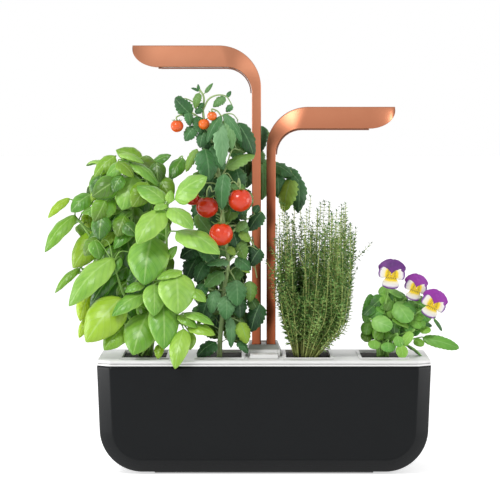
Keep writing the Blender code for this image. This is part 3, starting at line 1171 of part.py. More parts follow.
def make_arm(name, side, drop):
    low_z = LEFT_HEAD_TOP_Z - HEAD_THICKNESS
    recess_start = MAST_INNER_X + ARM_REACH - TIP_LENGTH - LAMP_RECESS_LENGTH
    half = LAMP_RECESS_DEPTH / 2

    def lamp_box(margin, base, height):
        return box_mesh((recess_start + margin, MAST_Y - half + margin, low_z + base),
                        (recess_start + LAMP_RECESS_LENGTH - margin, MAST_Y + half - margin,
                         low_z + base + height))

    shell = object_from(placed(arm_mesh(), side, drop), f"arm_shell_{name}", "copper")
    hollow = arm_mesh(ARM_WALL, -2)
    for v in hollow.verts:
        if v.co.z < MAST_BASE_Z + OVERRUN:
            v.co.z = MAST_BASE_Z - OVERRUN
    cut(shell, placed(hollow, side, drop))
    cut(shell, placed(lamp_box(0, -OVERRUN, LAMP_RECESS_HEIGHT + OVERRUN), side, drop))
    smooth(shell)

    trim = object_from(placed(trim_mesh(), side, drop), f"arm_trim_{name}", "dark_trim")
    cut(trim, placed(lamp_box(LAMP_BORDER, -OVERRUN, 2 * OVERRUN), side, drop))

    diffuser = object_from(placed(lamp_box(SLIDE_GAP, 0, DIFFUSER_THICKNESS), side, drop),
                           f"lamp_diffuser_{name}", "diffuser")
    cut(diffuser, placed(lamp_box(LAMP_BORDER, DIFFUSER_THICKNESS - DIFFUSER_POCKET,
                                  DIFFUSER_POCKET + OVERRUN), side, drop))

    board_base = DIFFUSER_THICKNESS + SEAT_GAP
    board = object_from(placed(lamp_box(2 * SLIDE_GAP, board_base, LED_BOARD_THICKNESS), side, drop),
                        f"led_board_{name}", "circuit")
    length, depth = LAMP_RECESS_LENGTH - 2 * LAMP_BORDER, LAMP_RECESS_DEPTH - 2 * LAMP_BORDER
    chips = []
    for column in range(LED_COLUMNS):
        for row in range(LED_ROWS):
            x = recess_start + LAMP_BORDER + length * (column + 0.5) / LED_COLUMNS
            y = MAST_Y - depth / 2 + depth * (row + 0.5) / LED_ROWS
            chips.append(box_mesh((x - LED_CHIP / 2, y - LED_CHIP / 2, low_z + board_base - LED_CHIP_HEIGHT),
                                  (x + LED_CHIP / 2, y + LED_CHIP / 2,
                                   low_z + board_base + LED_BOARD_THICKNESS / 2)))
    join(board, placed(merge(*chips), side, drop))

    inner_half_x = MAST_THICKNESS / 2 - ARM_WALL - SLIDE_GAP
    inner_half_y = MAST_OUTER_DEPTH / 2 - ARM_WALL - 2 * SLIDE_GAP
    middle = MAST_INNER_X + MAST_THICKNESS / 2
    foot_z = MAST_BASE_Z - SEAT_GAP
    plug = box_mesh((middle - inner_half_x, MAST_Y - inner_half_y, foot_z - GLIDE_FOOT / 2),
                    (middle + inner_half_x, MAST_Y + inner_half_y, foot_z + GLIDE_HEIGHT))
    foot = box_mesh((MAST_INNER_X, MAST_Y - MAST_DEPTH / 2, foot_z - GLIDE_FOOT),
                    (MAST_INNER_X + MAST_THICKNESS, MAST_Y + MAST_DEPTH / 2, foot_z))
    glide = object_from(placed(foot, side, drop), f"mast_glide_{name}", "rubber")
    join(glide, placed(plug, side, drop))


def make_electronics():
    board = object_from(box_mesh((-BOARD_WIDTH / 2, BOARD_FRONT_Y, BOARD_Z),
                                 (BOARD_WIDTH / 2, BOARD_FRONT_Y + BOARD_LENGTH,
                                  BOARD_TOP_Z)), "control_board", "circuit")
    half = SWITCH_SIZE / 2
    join(board, box_mesh((-half, BUTTON_Y - half, BOARD_TOP_Z - BOARD_THICKNESS / 2),
                         (half, BUTTON_Y + half, BOARD_TOP_Z + SWITCH_HEIGHT)))
    flange_top = CONSOLE_CEILING_Z - SLIDE_GAP
    base_z = BOARD_TOP_Z + SWITCH_HEIGHT + BUTTON_TRAVEL + SEAT_GAP
    button = object_from(cylinder_mesh(BUTTON_RADIUS, (0, BUTTON_Y, base_z),
                                       CONSOLE_TOP_Z + BUTTON_PROUD - base_z, ROUND_STEPS),
                         "power_button", "white")
    join(button, cylinder_mesh(BUTTON_FLANGE_RADIUS, (0, BUTTON_Y, base_z), flange_top - base_z,
                               ROUND_STEPS))
    back_y = BOARD_FRONT_Y + BOARD_LENGTH
    front_y = back_y - JACK_LENGTH
    socket_z = BOARD_TOP_Z + SEAT_GAP + JACK_HEIGHT / 2
    inner_back = CONSOLE_BACK_Y - CONSOLE_WALL - CONSOLE_BACK_SLOPE - SLIDE_GAP
    jack = object_from(box_mesh((-JACK_WIDTH / 2, front_y - JACK_LENGTH / 2, BOARD_TOP_Z + SEAT_GAP),
                                (JACK_WIDTH / 2, inner_back, BOARD_TOP_Z + SEAT_GAP + JACK_HEIGHT)), "dc_jack", "rubber")
    join(jack, cylinder_mesh(JACK_COLLAR_RADIUS, (0, inner_back - SLIDE_GAP, socket_z), CONSOLE_BACK_SLOPE,
                             ROUND_STEPS, axis="Y"))
    cut(jack, cylinder_mesh(JACK_BORE_RADIUS, (0, front_y, socket_z), JACK_LENGTH + CONSOLE_BACK_SLOPE,
                            axis="Y"))
    join(jack, cylinder_mesh(JACK_PIN_RADIUS, (0, front_y - SEAT_GAP, socket_z), JACK_LENGTH / 2, axis="Y"))


def curve_point(base, bend, top, share):
    """A point on the smooth curve from base to top that leaves base towards bend."""
    return base * (1 - share) ** 2 + bend * (2 * share * (1 - share)) + top * share ** 2


def seen_at(pod, px, py, depth):
    """The place at a depth that the photograph shows at a pixel, moved with its pod."""
    pitch_cos, pitch_sin = math.cos(CAMERA_PITCH), math.sin(CAMERA_PITCH)
    rise = (PHOTO_PIXELS / 2 - py) / PHOTO_FOCAL_PIXELS
    ahead = depth * PIXEL - CAMERA_Y
    up = ahead * (rise * pitch_cos + pitch_sin) / (pitch_cos - rise * pitch_sin)
    away = ahead * pitch_cos + up * pitch_sin
    across = CAMERA_X + (px - PHOTO_PIXELS / 2) / PHOTO_FOCAL_PIXELS * away
    return Vector((across + POD_CENTRES[pod] - SEEN_CENTRES[pod], depth * PIXEL, CAMERA_HEIGHT + up))


def smooth_path(points, steps):
    """A smooth curve through points, with that many steps between each two."""
    ends = [points[0] * 2 - points[1]] + list(points) + [points[-1] * 2 - points[-2]]
    path = []
    for a, b, c, d in zip(ends, ends[1:], ends[2:], ends[3:]):
        for step in range(steps):
            t = step / steps
            path.append(0.5 * (2 * b + (c - a) * t + (2 * a - 5 * b + 4 * c - d) * t * t
                               + (3 * b - a - 3 * c + d) * t ** 3))
    return path + [points[-1].copy()]


def point_on(path, share):
    """The point at a share of a path's steps."""
    spot = share * (len(path) - 1)
    index = min(int(spot), len(path) - 2)
    return path[index].lerp(path[index + 1], spot - index)


def nearest_on(paths, place):
    """The point on the paths that is nearest to a place, favouring those below it."""
    best, least = None, math.inf
    for path in paths:
        for a, b in zip(path, path[1:]):
            step = b - a
            share = max(0.0, min(STEP_END_SHARE, (place - a).dot(step) / step.length_squared))
            spot = a + step * share
            away = (place - spot).length + max(0.0, spot.z - place.z) * 2
            if away < least:
                best, least = spot, away
    return best


def tilted_face(tilt, sway):
    """Which way a blade looks: tilt in degrees up from the viewer."""
    return Vector((sway, -math.cos(math.radians(tilt)), math.sin(math.radians(tilt))))


def spread_shares(index):
    return [(index * step) % 1 for step in SPREAD_STEPS]


def tube_mesh(points, radii):
    """A four-sided tube along points, made as a curve and read back as a closed mesh."""
    curve = bpy.data.curves.new("tube", "CURVE")
    curve.dimensions = "3D"
    curve.bevel_depth = 1
    curve.bevel_resolution = 0
    curve.use_fill_caps = True
    spline = curve.splines.new("POLY")
    spline.points.add(len(points) - 1)
    for spot, place, radius in zip(spline.points, points, radii):
        spot.co = (*place, 1)
        spot.radius = radius
    guide = bpy.data.objects.new("tube", curve)
    CUTTERS.objects.link(guide)
    bpy.context.view_layer.update()
    shape = bpy.data.meshes.new_from_object(guide.evaluated_get(bpy.context.evaluated_depsgraph_get()))
    made = bmesh.new()
    made.from_mesh(shape)
    bmesh.ops.remove_doubles(made, verts=made.verts, dist=min(radii) / 10)
    bpy.data.objects.remove(guide, do_unlink=True)
    bpy.data.curves.remove(curve)
    bpy.data.meshes.remove(shape)
    return made


def heading(azimuth, elevation):
    """A unit vector: azimuth in degrees from +X towards +Y, elevation in degrees up."""
    turn, rise = math.radians(azimuth), math.radians(elevation)
    return Vector((math.cos(turn) * math.cos(rise), math.sin(turn) * math.cos(rise), math.sin(rise)))


def blade_axes(base, tip, face):
    """A blade's two cross directions: its side, and its normal on the side of face."""
    along = tip - base
    side = along.cross(face)
    if side.length < along.length * FACE_ALONG_SHARE:
        side = along.cross(Vector((0.3, -1, 0.2)))
    side.normalize()
    return side, side.cross(along).normalized()


def leaf_mesh(base, tip, width, sections, arch, face, thickness=LEAF_THICKNESS):
    """A leaf as a thin four-sided spindle: narrow at its stalk, broad in its blade and arched."""
    made = bmesh.new()
    bmesh.ops.create_uvsphere(made, u_segments=4, v_segments=len(sections) + 1, radius=1)
    along = tip - base
    side, normal = blade_axes(base, tip, face)
    levels = sorted({round(v.co.z, 4) for v in made.verts})
    spots = {levels[0]: (0.0, 0.0), levels[-1]: (1.0, 0.0)}
    spots.update(zip(levels[1:-1], sections))
    for v in made.verts:
        reach, breadth = spots[round(v.co.z, 4)]
        across = Vector((v.co.x, v.co.y))
        if across.length > 0.1:
            across.normalize()
        depth = max(breadth * thickness, PETIOLE_WIDTH if reach < STALK_END_SHARE else 0) / 2
        half = max(breadth * width, PETIOLE_WIDTH) / 2
        lift = math.sin(reach * math.pi) * arch * along.length
        v.co = base + along * reach + side * (across.x * half) + normal * (across.y * depth + lift)
    return made


def stalk_mesh(points, radius):
    """A three-sided stalk along points, its sections square to its way."""
    made = bmesh.new()
    turns = [math.radians(angle) for angle in (90, 210, 330)]
    across = (points[1] - points[0]).orthogonal()
    rings = []
    for index, place in enumerate(points):
        ahead = (points[min(index + 1, len(points) - 1)] - points[max(index - 1, 0)]).normalized()
        across = (across - ahead * across.dot(ahead)).normalized()
        other = ahead.cross(across)
        ring = [made.verts.new(place + (across * math.cos(turn) + other * math.sin(turn)) * radius) for turn in turns]
        rings.append(ring)
    for low, high in zip(rings, rings[1:]):
        for i in range(3):
            made.faces.new((low[i - 1], low[i], high[i], high[i - 1]))
    made.faces.new(reversed(rings[0]))
    made.faces.new(rings[-1])
    return made


def stalked_leaf(paths, base, tip, width, face, sections, arch, room):
    """A leaf and the stalk that joins it to its nearest stem, or nothing where it has no room."""
    if not all(room(p) and is_clear_of_deck(p) for p in [base] + leaf_points(base, tip, width)):
        return []
    start = nearest_on(paths, base)
    first = sections[0][0]
    normal = blade_axes(base, tip, face)[1]
    lift = math.sin(first * math.pi) * arch * (tip - base).length
    neck = base.lerp(tip, first * 0.6) + normal * (lift * 0.6)
    gap = (base - start).length
    path = [start, neck]
    if gap > BENT_STALK:
        bend = base - (tip - base).normalized() * gap * STALK_BEND_SHARE
        path = [start, start.lerp(bend, STALK_MIDDLE_SHARE), neck]
    return [leaf_mesh(base, tip, width, sections, arch, face), stalk_mesh(path, STALK_RADIUS)]


def seen_leaves(pod, rows, paths, broaden, sway, sections, arch, room):
    """The leaves of a table, each with its stalk."""
    shapes = []
    for base_px, base_py, tip_px, tip_py, base_depth, tip_depth, breadth, tilt in rows:
        base, tip = seen_at(pod, base_px, base_py, base_depth), seen_at(pod, tip_px, tip_py, tip_depth)
        face = tilted_face(tilt, sway * math.copysign(1, tip_px - base_px))
        form = SMALL_LEAF_SHARES if breadth < SMALL_LEAF_PIXELS and sections == OVATE_SHARES else sections
        shapes += stalked_leaf(paths, base, tip, breadth * PIXEL * broaden, face, form, arch, room)
    return shapes


def leaf_points(base, tip, width):
    """Points round a leaf that have to stay in its plant's room."""
    along = tip - base
    side = Vector((along.y, -along.x, 0))
    if side.length:
        side.normalize()
    middle = base + along * BLADE_MIDDLE_SHARE
    return [tip, middle, middle + side * width / 2, middle - side * width / 2]


def is_clear_of_lamps(p):
    """Whether a point stays off the space that the two arms sweep as they slide."""
    front = MAST_Y - HEAD_DEPTH / 2 - LAMP_ROOM
    back = MAST_Y + HEAD_DEPTH / 2 + LAMP_ROOM
    if not front < p.y < back:
        return True
    in_masts = abs(p.x) < MAST_INNER_X + MAST_THICKNESS + LAMP_ROOM
    lowest = HIGH_TOMATO_Z if p.x < 0 else HIGH_TOMATO_Z - RIGHT_ARM_DROP
    return not in_masts and p.z < lowest


def is_clear_of_deck(p):
    """Whether a point is above the console's base, or above the deck beside it."""
    over_console = abs(p.x) < CONSOLE_BASE_WIDTH / 2 + PLANT_MARGIN
    return p.z > (CONSOLE_TOP_Z if over_console else POD_TOP_Z) + PLANT_MARGIN


def basil_room(p):
    if p.x > BASIL_RIGHT_X:
        return p.y < BASIL_FRONT_Y
    beside_tomato = p.x > BASIL_RIGHT_X - BASIL_TOP_INSET and p.y > TOMATO_STEM_Y and p.z > LOW_BASIL_Z
    return is_clear_of_lamps(p) and not beside_tomato


def flap_room(p):
    """Whether a point stays off the space that the filler's flap swings through."""
    return p.z > LOW_FLAP_Z or abs(p.x) > FLAP_WIDTH / 2 + PLANT_MARGIN


def tomato_room(p):
    if p.x < BASIL_RIGHT_X + 2 * PLANT_MARGIN:
        return p.y > TOMATO_STEM_Y + 4 * PLANT_MARGIN and p.z > HIGH_LEFT_Z and is_clear_of_lamps(p)
    if p.y < BASIL_FRONT_Y + 2 * PLANT_MARGIN and p.x < TOMATO_FRONT_X:
        return False
    return (p.x < TOMATO_RIGHT_X or p.y > TOMATO_BACK_Y) and is_clear_of_lamps(p) and flap_room(p)


def thyme_room(p):
    beside_viola = p.x > THYME_VIOLA_X - 4 * PLANT_MARGIN
    over_lifted_viola = p.z > POD_TOP_Z + POD_LIFT + 2 * PLANT_MARGIN
    if beside_viola and (p.y < THYME_VIOLA_Y + 2 * PLANT_MARGIN or not over_lifted_viola):
        return False
    if p.x < MAST_INNER_X + MAST_THICKNESS + 2 * LAMP_ROOM and p.y > MAST_Y - MAST_DEPTH / 2 - 2 * LAMP_ROOM:
        return False
    return p.x > THYME_LEFT_X and p.y < TOMATO_BACK_Y - 2 * PLANT_MARGIN and flap_room(p)


def viola_room(p):
    beyond_thyme = p.x > THYME_VIOLA_X + THYME_DEPTH * VIOLA_BACK_SHARE
    return p.x > THYME_VIOLA_X + PLANT_MARGIN and (p.y < THYME_VIOLA_Y - PLANT_MARGIN or beyond_thyme)


def make_plant(name, finish, shapes, collar):
    """Joins a plant's stems, leaves and fruit in one solid on its root collar."""
    return join(object_from(merge(*shapes), name, finish), collar)


def collar_mesh(centre_x, y, radius):
    return cylinder_mesh(radius, (centre_x, y, PLUG_TOP_Z + SEAT_GAP), COLLAR_HEIGHT, 8)


def make_basil():
    root = Vector((POD_CENTRES["basil"], 0, ROOT_Z))
    paths = []
    shapes = []
    for index, places in enumerate(BASIL_STEMS):
        turn = index * GOLDEN_ANGLE
        foot = root + Vector((math.cos(turn), math.sin(turn), 0)) * BASIL_FOOT_RADIUS
        path = smooth_path([foot] + [seen_at("basil", *place) for place in places], 2)
        paths.append(path)
        radii = [BASIL_STEM_RADIUS * (1.15 - 0.55 * i / len(path)) for i in range(len(path))]
        shapes.append(tube_mesh(path, radii))
    shapes += seen_leaves("basil", BASIL_LEAVES, paths, BASIL_BROADEN, BASIL_SWAY, OVATE_SHARES, BASIL_ARCH,
                          basil_room)
    for index in range(BASIL_BACK_LEAVES):
        high, turn, size = spread_shares(index)
        path = paths[BASIL_BACK_STEMS[index % len(BASIL_BACK_STEMS)]]
        azimuth = 15 + 150 * turn
        length = BASIL_BACK_LENGTH * (0.75 + 0.5 * size)
        base = point_on(path, 0.42 + 0.58 * high) + heading(azimuth, 20) * BASIL_BACK_STALK
        tip = base + heading(azimuth, 10 - 45 * size) * length
        if tip.y > PLANT_BACK_Y or tip.y < 0 or max(tip.x, base.x) > BASIL_BACK_RIGHT_X:
            continue
        face = Vector((0, 0, 1)) + heading(azimuth, 0) * 0.5
        shapes += stalked_leaf(paths, base, tip, length * 0.58, face, OVATE_SHARES, BASIL_ARCH, basil_room)
    make_plant("basil_plant", "basil", shapes, collar_mesh(root.x, 0, BASIL_COLLAR_RADIUS))


def make_tomato():
    root = Vector((POD_CENTRES["tomato"], TOMATO_STEM_Y, ROOT_Z))
    trunk = smooth_path([root] + [seen_at("tomato", *place) for place in TOMATO_TRUNK], 2)
    radii = [TOMATO_STEM_RADIUS * (1 - 0.74 * (i / len(trunk)) ** 0.8) for i in range(len(trunk))]
    shapes = [tube_mesh(trunk, radii)]
    paths = [trunk]
    for places in TOMATO_BRANCHES:
        path = [seen_at("tomato", *place) for place in places]
        path[0] = nearest_on([trunk], path[0])
        paths.append(path)
        shapes.append(stalk_mesh(path, BRANCH_RADIUS))
    shapes += seen_leaves("tomato", TOMATO_LEAVES, paths, TOMATO_BROADEN, TOMATO_SWAY, SMALL_LEAF_SHARES,
                          TOMATO_ARCH, tomato_room)
    for index in range(TOMATO_BACK_LEAVES):
        high, turn, size = spread_shares(index)
        path = paths[TOMATO_BACK_STEMS[index % len(TOMATO_BACK_STEMS)]]
        azimuth = 40 + 100 * turn
        length = TOMATO_BACK_LENGTH * (0.75 + 0.5 * size)
        base = point_on(path, 0.25 + 0.47 * high) + heading(azimuth, 15) * TOMATO_BACK_STALK * (0.55 + size)
        tip = base + heading(azimuth + 100 * high - 50, 5 - 65 * size) * length
        xs, ys = (base.x, tip.x), (base.y, tip.y)
        if max(xs) > TOMATO_BACK_RIGHT_X or min(xs) < TOMATO_BACK_LEFT_X or tip.z > TOMATO_BACK_TOP_Z:
            continue
        if max(ys) > PLANT_BACK_Y or min(ys) < TOMATO_BACK_FRONT_Y:
            continue
        face = Vector((0, 0.8, 0.6))
        shapes += stalked_leaf(paths, base, tip, length * 0.6, face, SMALL_LEAF_SHARES, TOMATO_ARCH,
                               tomato_room)
    for px, py, radius_pixels, depth in TOMATO_FRUITS:
        middle = seen_at("tomato", px, py, depth)
        radius = radius_pixels * PIXEL
        fruit = bmesh.new()
        bmesh.ops.create_uvsphere(fruit, u_segments=10, v_segments=7, radius=radius)
        bmesh.ops.translate(fruit, vec=middle, verts=fruit.verts)
        above = middle + Vector((0, 0, radius * 1.6))
        start = nearest_on(paths, above)
        crown = middle + Vector((0, 0, radius * 0.8))
        over = crown.lerp(start, 0.5) + Vector((0, 0, radius * 0.6))
        shapes += [fruit, tube_mesh([start, over, crown], [STALK_RADIUS] * 3)]
    make_plant("tomato_plant", "tomato_green", shapes, collar_mesh(root.x, root.y, TOMATO_COLLAR_RADIUS))


def make_thyme():
    centre = Vector((POD_CENTRES["thyme"], 0, ROOT_Z))
    half_x, half_y = PLUG_HALF_X - THYME_CROWN_SIDE_MARGIN, PLUG_HALF_Y - THYME_CROWN_END_MARGIN
    shapes = []
    for index in range(THYME_STEMS):
        reach = math.sqrt((index + 0.5) / THYME_STEMS)
        turn = index * GOLDEN_ANGLE
        out = Vector((math.cos(turn) * reach, math.sin(turn) * reach, 0))
        base = centre + Vector((out.x * half_x * THYME_BASE_SHARE, out.y * half_y * THYME_BASE_SHARE, 0))
        height = THYME_HEIGHT * (1 - 0.3 * reach * reach * (1 - 0.35 * math.cos(turn)))
        top = centre + Vector((out.x * THYME_SPREAD + THYME_LEAN_X, out.y * THYME_DEPTH, height))
        for _ in range(THYME_TRIES):
            bend = Vector((*base.lerp(top, THYME_BULGE_SHARE).xy, base.z + height * THYME_BULGE_SHARE / 2))
            path = [curve_point(base, bend, top, share) for share, _ in THYME_SPRIG_SHARES]
            if all(thyme_room(p) for p in path):
                break
            top = top.lerp(Vector((centre.x + THYME_LEAN_X, centre.y, top.z)), THYME_RETREAT_SHARE)
        radii = [THYME_STEM_RADIUS + (THYME_SPRIG_RADIUS - THYME_STEM_RADIUS) * fat for _,
                 fat in THYME_SPRIG_SHARES]
        shapes.append(tube_mesh(path, radii))
    crown = rounded_box((centre.x - half_x, -half_y, PLUG_TOP_Z + SEAT_GAP),
                        (centre.x + half_x, half_y, PLUG_TOP_Z + SEAT_GAP + COLLAR_HEIGHT), THYME_CROWN_CORNER)
    make_plant("thyme_plant", "thyme", shapes, crown)


def make_viola():
    root = Vector((POD_CENTRES["viola"], VIOLA_STEM_Y, ROOT_Z))
    paths = [[root, root + Vector((0, 0, COLLAR_HEIGHT))]]
    shapes = seen_leaves("viola", VIOLA_LEAVES, paths, VIOLA_BROADEN, VIOLA_SWAY, ROUND_LEAF_SHARES,
                         VIOLA_ARCH,
                         viola_room)
    for index in range(VIOLA_BACK_LEAVES):
        turn, high, size = spread_shares(index)
        azimuth = 20 + 140 * turn
        rise = 0.25 + 0.75 * high
        base = root + heading(azimuth, 0) * (VIOLA_BACK_REACH * (1 - 0.57 * rise))
        base += Vector((0, 0, VIOLA_BACK_HEIGHT * rise))
        tip = base + heading(azimuth + 60 * size - 30, -20 - 20 * (1 - rise)) * VIOLA_BACK_LENGTH
        face = Vector((0, 0, 1)) + heading(azimuth, 0) * 0.5
        shapes += stalked_leaf(paths, base, tip, VIOLA_BACK_LENGTH * 0.75, face, ROUND_LEAF_SHARES,
                               VIOLA_ARCH,
                               viola_room)
    for number, (px, py, depth, sway, nod, size, roll) in enumerate(VIOLA_FLOWERS, 1):
        middle = seen_at("viola", px, py, depth)
        facing = Vector((sway, -1, nod)).normalized()
        petal_length = size * PIXEL
        neck = middle - facing * (VIOLA_EYE_RADIUS + SEAT_GAP)
        rear = neck - facing * petal_length / 2
        bend = root.lerp(rear, 0.6) - facing * petal_length / 3
        shapes.append(tube_mesh([root, bend, rear, neck], [VIOLA_STALK_RADIUS] * 4))
        side = facing.cross(Vector((0, 0, 1))).normalized()
        upward = side.cross(facing)
        petals = []
        for angle, length, breadth in VIOLA_PETALS:
            turn = math.radians(angle + roll)
            way = side * math.sin(turn) + upward * math.cos(turn)
            reach = petal_length * length
            petals.append(leaf_mesh(middle, middle + way * reach, reach * breadth, PETAL_SHARES, 0, facing,
                                    VIOLA_PETAL_THICKNESS))
        flower = object_from(merge(*petals), f"viola_flower_{number}", "viola_purple")
        turned = cylinder_mesh(VIOLA_EYE_RADIUS, (0, 0, -VIOLA_EYE_RADIUS), 2 * VIOLA_EYE_RADIUS, 8)
        bmesh.ops.rotate(turned, matrix=facing.to_track_quat("Z", "Y").to_matrix(), verts=turned.verts)
        bmesh.ops.translate(turned, vec=middle, verts=turned.verts)
        join(flower, turned)
    make_plant("viola_plant", "viola_green", shapes, collar_mesh(root.x, root.y, VIOLA_COLLAR_RADIUS))


def carry(name, place, *pieces):
    """Hangs pieces on an empty that stands on their joint's axis."""
    pivot = bpy.data.objects.new(name, None)
    pivot.location = place
    PARTS.objects.link(pivot)
    bpy.context.view_layer.update()
    for piece in pieces:
        child = bpy.data.objects[piece]
        child.parent = pivot
        child.matrix_parent_inverse = pivot.matrix_world.inverted()


clear_scene()
PARTS = new_collection("hydroponic_garden")
CUTTERS = new_collection("cutters", hidden=True)
make_pot()
make_tank()
make_deck()
make_console()
make_guide()
make_springs()
make_filler()
make_pump()
make_channels()
for pod_name, pod_x in POD_CENTRES.items():
    make_pod(pod_name, pod_x)
make_arm("left", -1, 0.0)
make_arm("right", 1, RIGHT_ARM_DROP)
make_electronics()
make_basil()
make_tomato()
make_thyme()
make_viola()
arm_pieces = ("arm_shell", "arm_trim", "led_board", "lamp_diffuser", "mast_glide")
for arm_name, arm_side in (("left", -1), ("right", 1)):
    mast_x = arm_side * (MAST_INNER_X + MAST_THICKNESS / 2)
    carry(f"{arm_name}_arm_slide", (mast_x, MAST_Y, CONSOLE_TOP_Z),
          *(f"{piece}_{arm_name}" for piece in arm_pieces))
for pod_name, pod_x in POD_CENTRES.items():
    flowers = [f"viola_flower_{n + 1}" for n in range(len(VIOLA_FLOWERS))] if pod_name == "viola" else []
    pieces = [f"pod_cup_{pod_name}", f"grow_plug_{pod_name}", f"wick_{pod_name}",
              f"{pod_name}_plant"] + flowers
    carry(f"{pod_name}_pod_slide", (pod_x, 0, POD_SEAT_Z), *pieces)
carry("flap_hinge", (0, FLAP_AXIS_Y, FLAP_AXIS_Z), "filler_flap", "flap_window")
carry("float_slide", (0, FILLER_Y, FLOAT_BASE_Z), "level_float")
carry("button_slide", (0, BUTTON_Y, CONSOLE_TOP_Z), "power_button")
carry("impeller_axis", (0, PUMP_Y, PUMP_BASE_Z), "impeller")
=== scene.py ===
"""The looks of the countertop hydroponic garden: the finish of every surface, and the four plants in full.
Metres, +Z up, the front looks along -Y, in the same frame as the construction."""

import json
import math
import random

import bmesh
import bpy
import numpy as np
from mathutils import Matrix, Vector, noise


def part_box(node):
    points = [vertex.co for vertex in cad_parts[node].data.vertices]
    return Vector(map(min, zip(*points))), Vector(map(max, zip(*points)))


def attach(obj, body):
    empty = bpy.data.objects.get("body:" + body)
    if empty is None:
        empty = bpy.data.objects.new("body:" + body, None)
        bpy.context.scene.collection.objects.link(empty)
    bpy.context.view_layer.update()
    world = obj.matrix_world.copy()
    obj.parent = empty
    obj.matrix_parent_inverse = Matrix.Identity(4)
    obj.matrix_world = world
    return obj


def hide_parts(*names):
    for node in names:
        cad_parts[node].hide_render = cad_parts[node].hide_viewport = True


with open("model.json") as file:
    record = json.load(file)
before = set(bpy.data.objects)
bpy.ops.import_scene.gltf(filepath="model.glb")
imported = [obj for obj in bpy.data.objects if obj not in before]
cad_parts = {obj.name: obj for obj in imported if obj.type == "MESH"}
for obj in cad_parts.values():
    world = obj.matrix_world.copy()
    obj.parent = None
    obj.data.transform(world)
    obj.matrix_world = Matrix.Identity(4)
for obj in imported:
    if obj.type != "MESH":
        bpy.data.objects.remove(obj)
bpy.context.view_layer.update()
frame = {"nodes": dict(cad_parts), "record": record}

MM = 0.001

# The photograph's camera, and its frame in pixels
CAMERA_PLACE = Vector((-0.0144, -3.684, 0.385))
CAMERA_PITCH = math.radians(-2.44)
PHOTO_PIXELS = 500
PHOTO_FOCAL_PIXELS = 3522
SENSOR_WIDTH = 36.0
PIXEL = 1.046 * MM         # what one pixel spans at the plants

# Lamp arms, told by their own boxes but for the shape of the bend and the head
HEAD_THICKNESS = 0.0228
HEAD_DEPTH = 0.048
HEAD_OUTER_DEPTH = 0.034
MAST_OUTER_DEPTH = 0.028
BEND_OUTER_RADIUS = 0.044
BEND_INNER_RADIUS = 0.027
BEND_STEPS = 28
TIP_LENGTH = 0.0272
TIP_BLUNT = 0.004
TIP_STEPS = 12
ARM_EDGE = 0.0011
ARM_EDGE_STEPS = 3
RECESS_HEIGHT = 0.0056
RECESS_OVERRUN = 0.002

# Pot
POT_DRAFT = math.radians(2.3)
POT_CORNER_RADIUS = 0.0443
POT_CHAMFER = 0.0138
POT_WALL = 0.003
POT_CORNER_STEPS = 28
POT_SOFTNESS = 0.0016
POT_FLAT_CHAMFERS = 1.6     # how far in the front and back faces start, in chamfers
POT_RIM = 0.003

# Light. Lamps: name, place, size across and up, power in watts
FLOOR_GLOW = 0.62
AMBIENT = 0.50
LAMP_AIM = Vector((0, 0, 0.2))
LAMPS = (
    ("key", (-1.3, -2.0, 2.2), (1.0, 1.0), 40),
    ("fill", (1.8, -1.6, 1.3), (1.2, 1.2), 6),
    ("left_panel", (-1.1, -0.1, 0.25), (0.6, 0.6), 5.0),
    ("right_panel", (1.1, -0.1, 0.25), (0.6, 0.6), 3.2),
)
FLOOR_HALF_WIDTH = 20

# Soil
SOIL_COLUMNS = 26
SOIL_ROWS = 60
SOIL_DROP = 0.0016
CRUMB_HEIGHT = 0.0014

# Leaves
BASIL_BLADE = 0.00045
TOMATO_BLADE = 0.00045
VIOLA_BLADE = 0.00045
PETAL_BLADE = 0.0004
SEPAL_BLADE = 0.0005
GOLDEN_ANGLE = math.radians(137.5)
SPREAD_STEPS = (0.8192, 0.6710, 0.5497)     # multiples of these spread evenly over 0 to 1
PLANT_BACK_Y = 0.081
FILL_STALK_RADIUS = 0.6 * MM
STALK_SIDES = 5
BACK_BREADTH_SHARE = 0.62

# Room that the plants leave to the masts, the heads and the flap
MASTS_Y = (-0.0175, 0.0375)
MASTS_X = 0.0160
LEFT_HEAD_Z = 0.343
RIGHT_HEAD_Z = 0.279
FLAP_X = 0.0165
FLAP_Z = 0.163


def seen_at(px, py, y):
    """The place at depth y that the photograph shows at a pixel."""
    pitch_cos, pitch_sin = math.cos(CAMERA_PITCH), math.sin(CAMERA_PITCH)
    rise = (PHOTO_PIXELS / 2 - py) / PHOTO_FOCAL_PIXELS
    ahead = y - CAMERA_PLACE.y
    up = ahead * (rise * pitch_cos + pitch_sin) / (pitch_cos - rise * pitch_sin)
    depth = ahead * pitch_cos + up * pitch_sin
    right = (px - PHOTO_PIXELS / 2) / PHOTO_FOCAL_PIXELS * depth
    return Vector((CAMERA_PLACE.x + right, y, CAMERA_PLACE.z + up))


def heading(azimuth, elevation):
    """A unit vector: azimuth in degrees from +X towards +Y, elevation in degrees up."""
    turn, rise = math.radians(azimuth), math.radians(elevation)
    return Vector((math.cos(turn) * math.cos(rise), math.sin(turn) * math.cos(rise), math.sin(rise)))


def smooth_path(points, steps):
    """A smooth curve through points, with that many steps between each two."""
    ends = [points[0] * 2 - points[1]] + list(points) + [points[-1] * 2 - points[-2]]
    path = []
    for a, b, c, d in zip(ends, ends[1:], ends[2:], ends[3:]):
        for step in range(steps):
            t = step / steps
            path.append(0.5 * (2 * b + (c - a) * t + (2 * a - 5 * b + 4 * c - d) * t * t
                               + (3 * b - a - 3 * c + d) * t ** 3))
    return path + [points[-1].copy()]


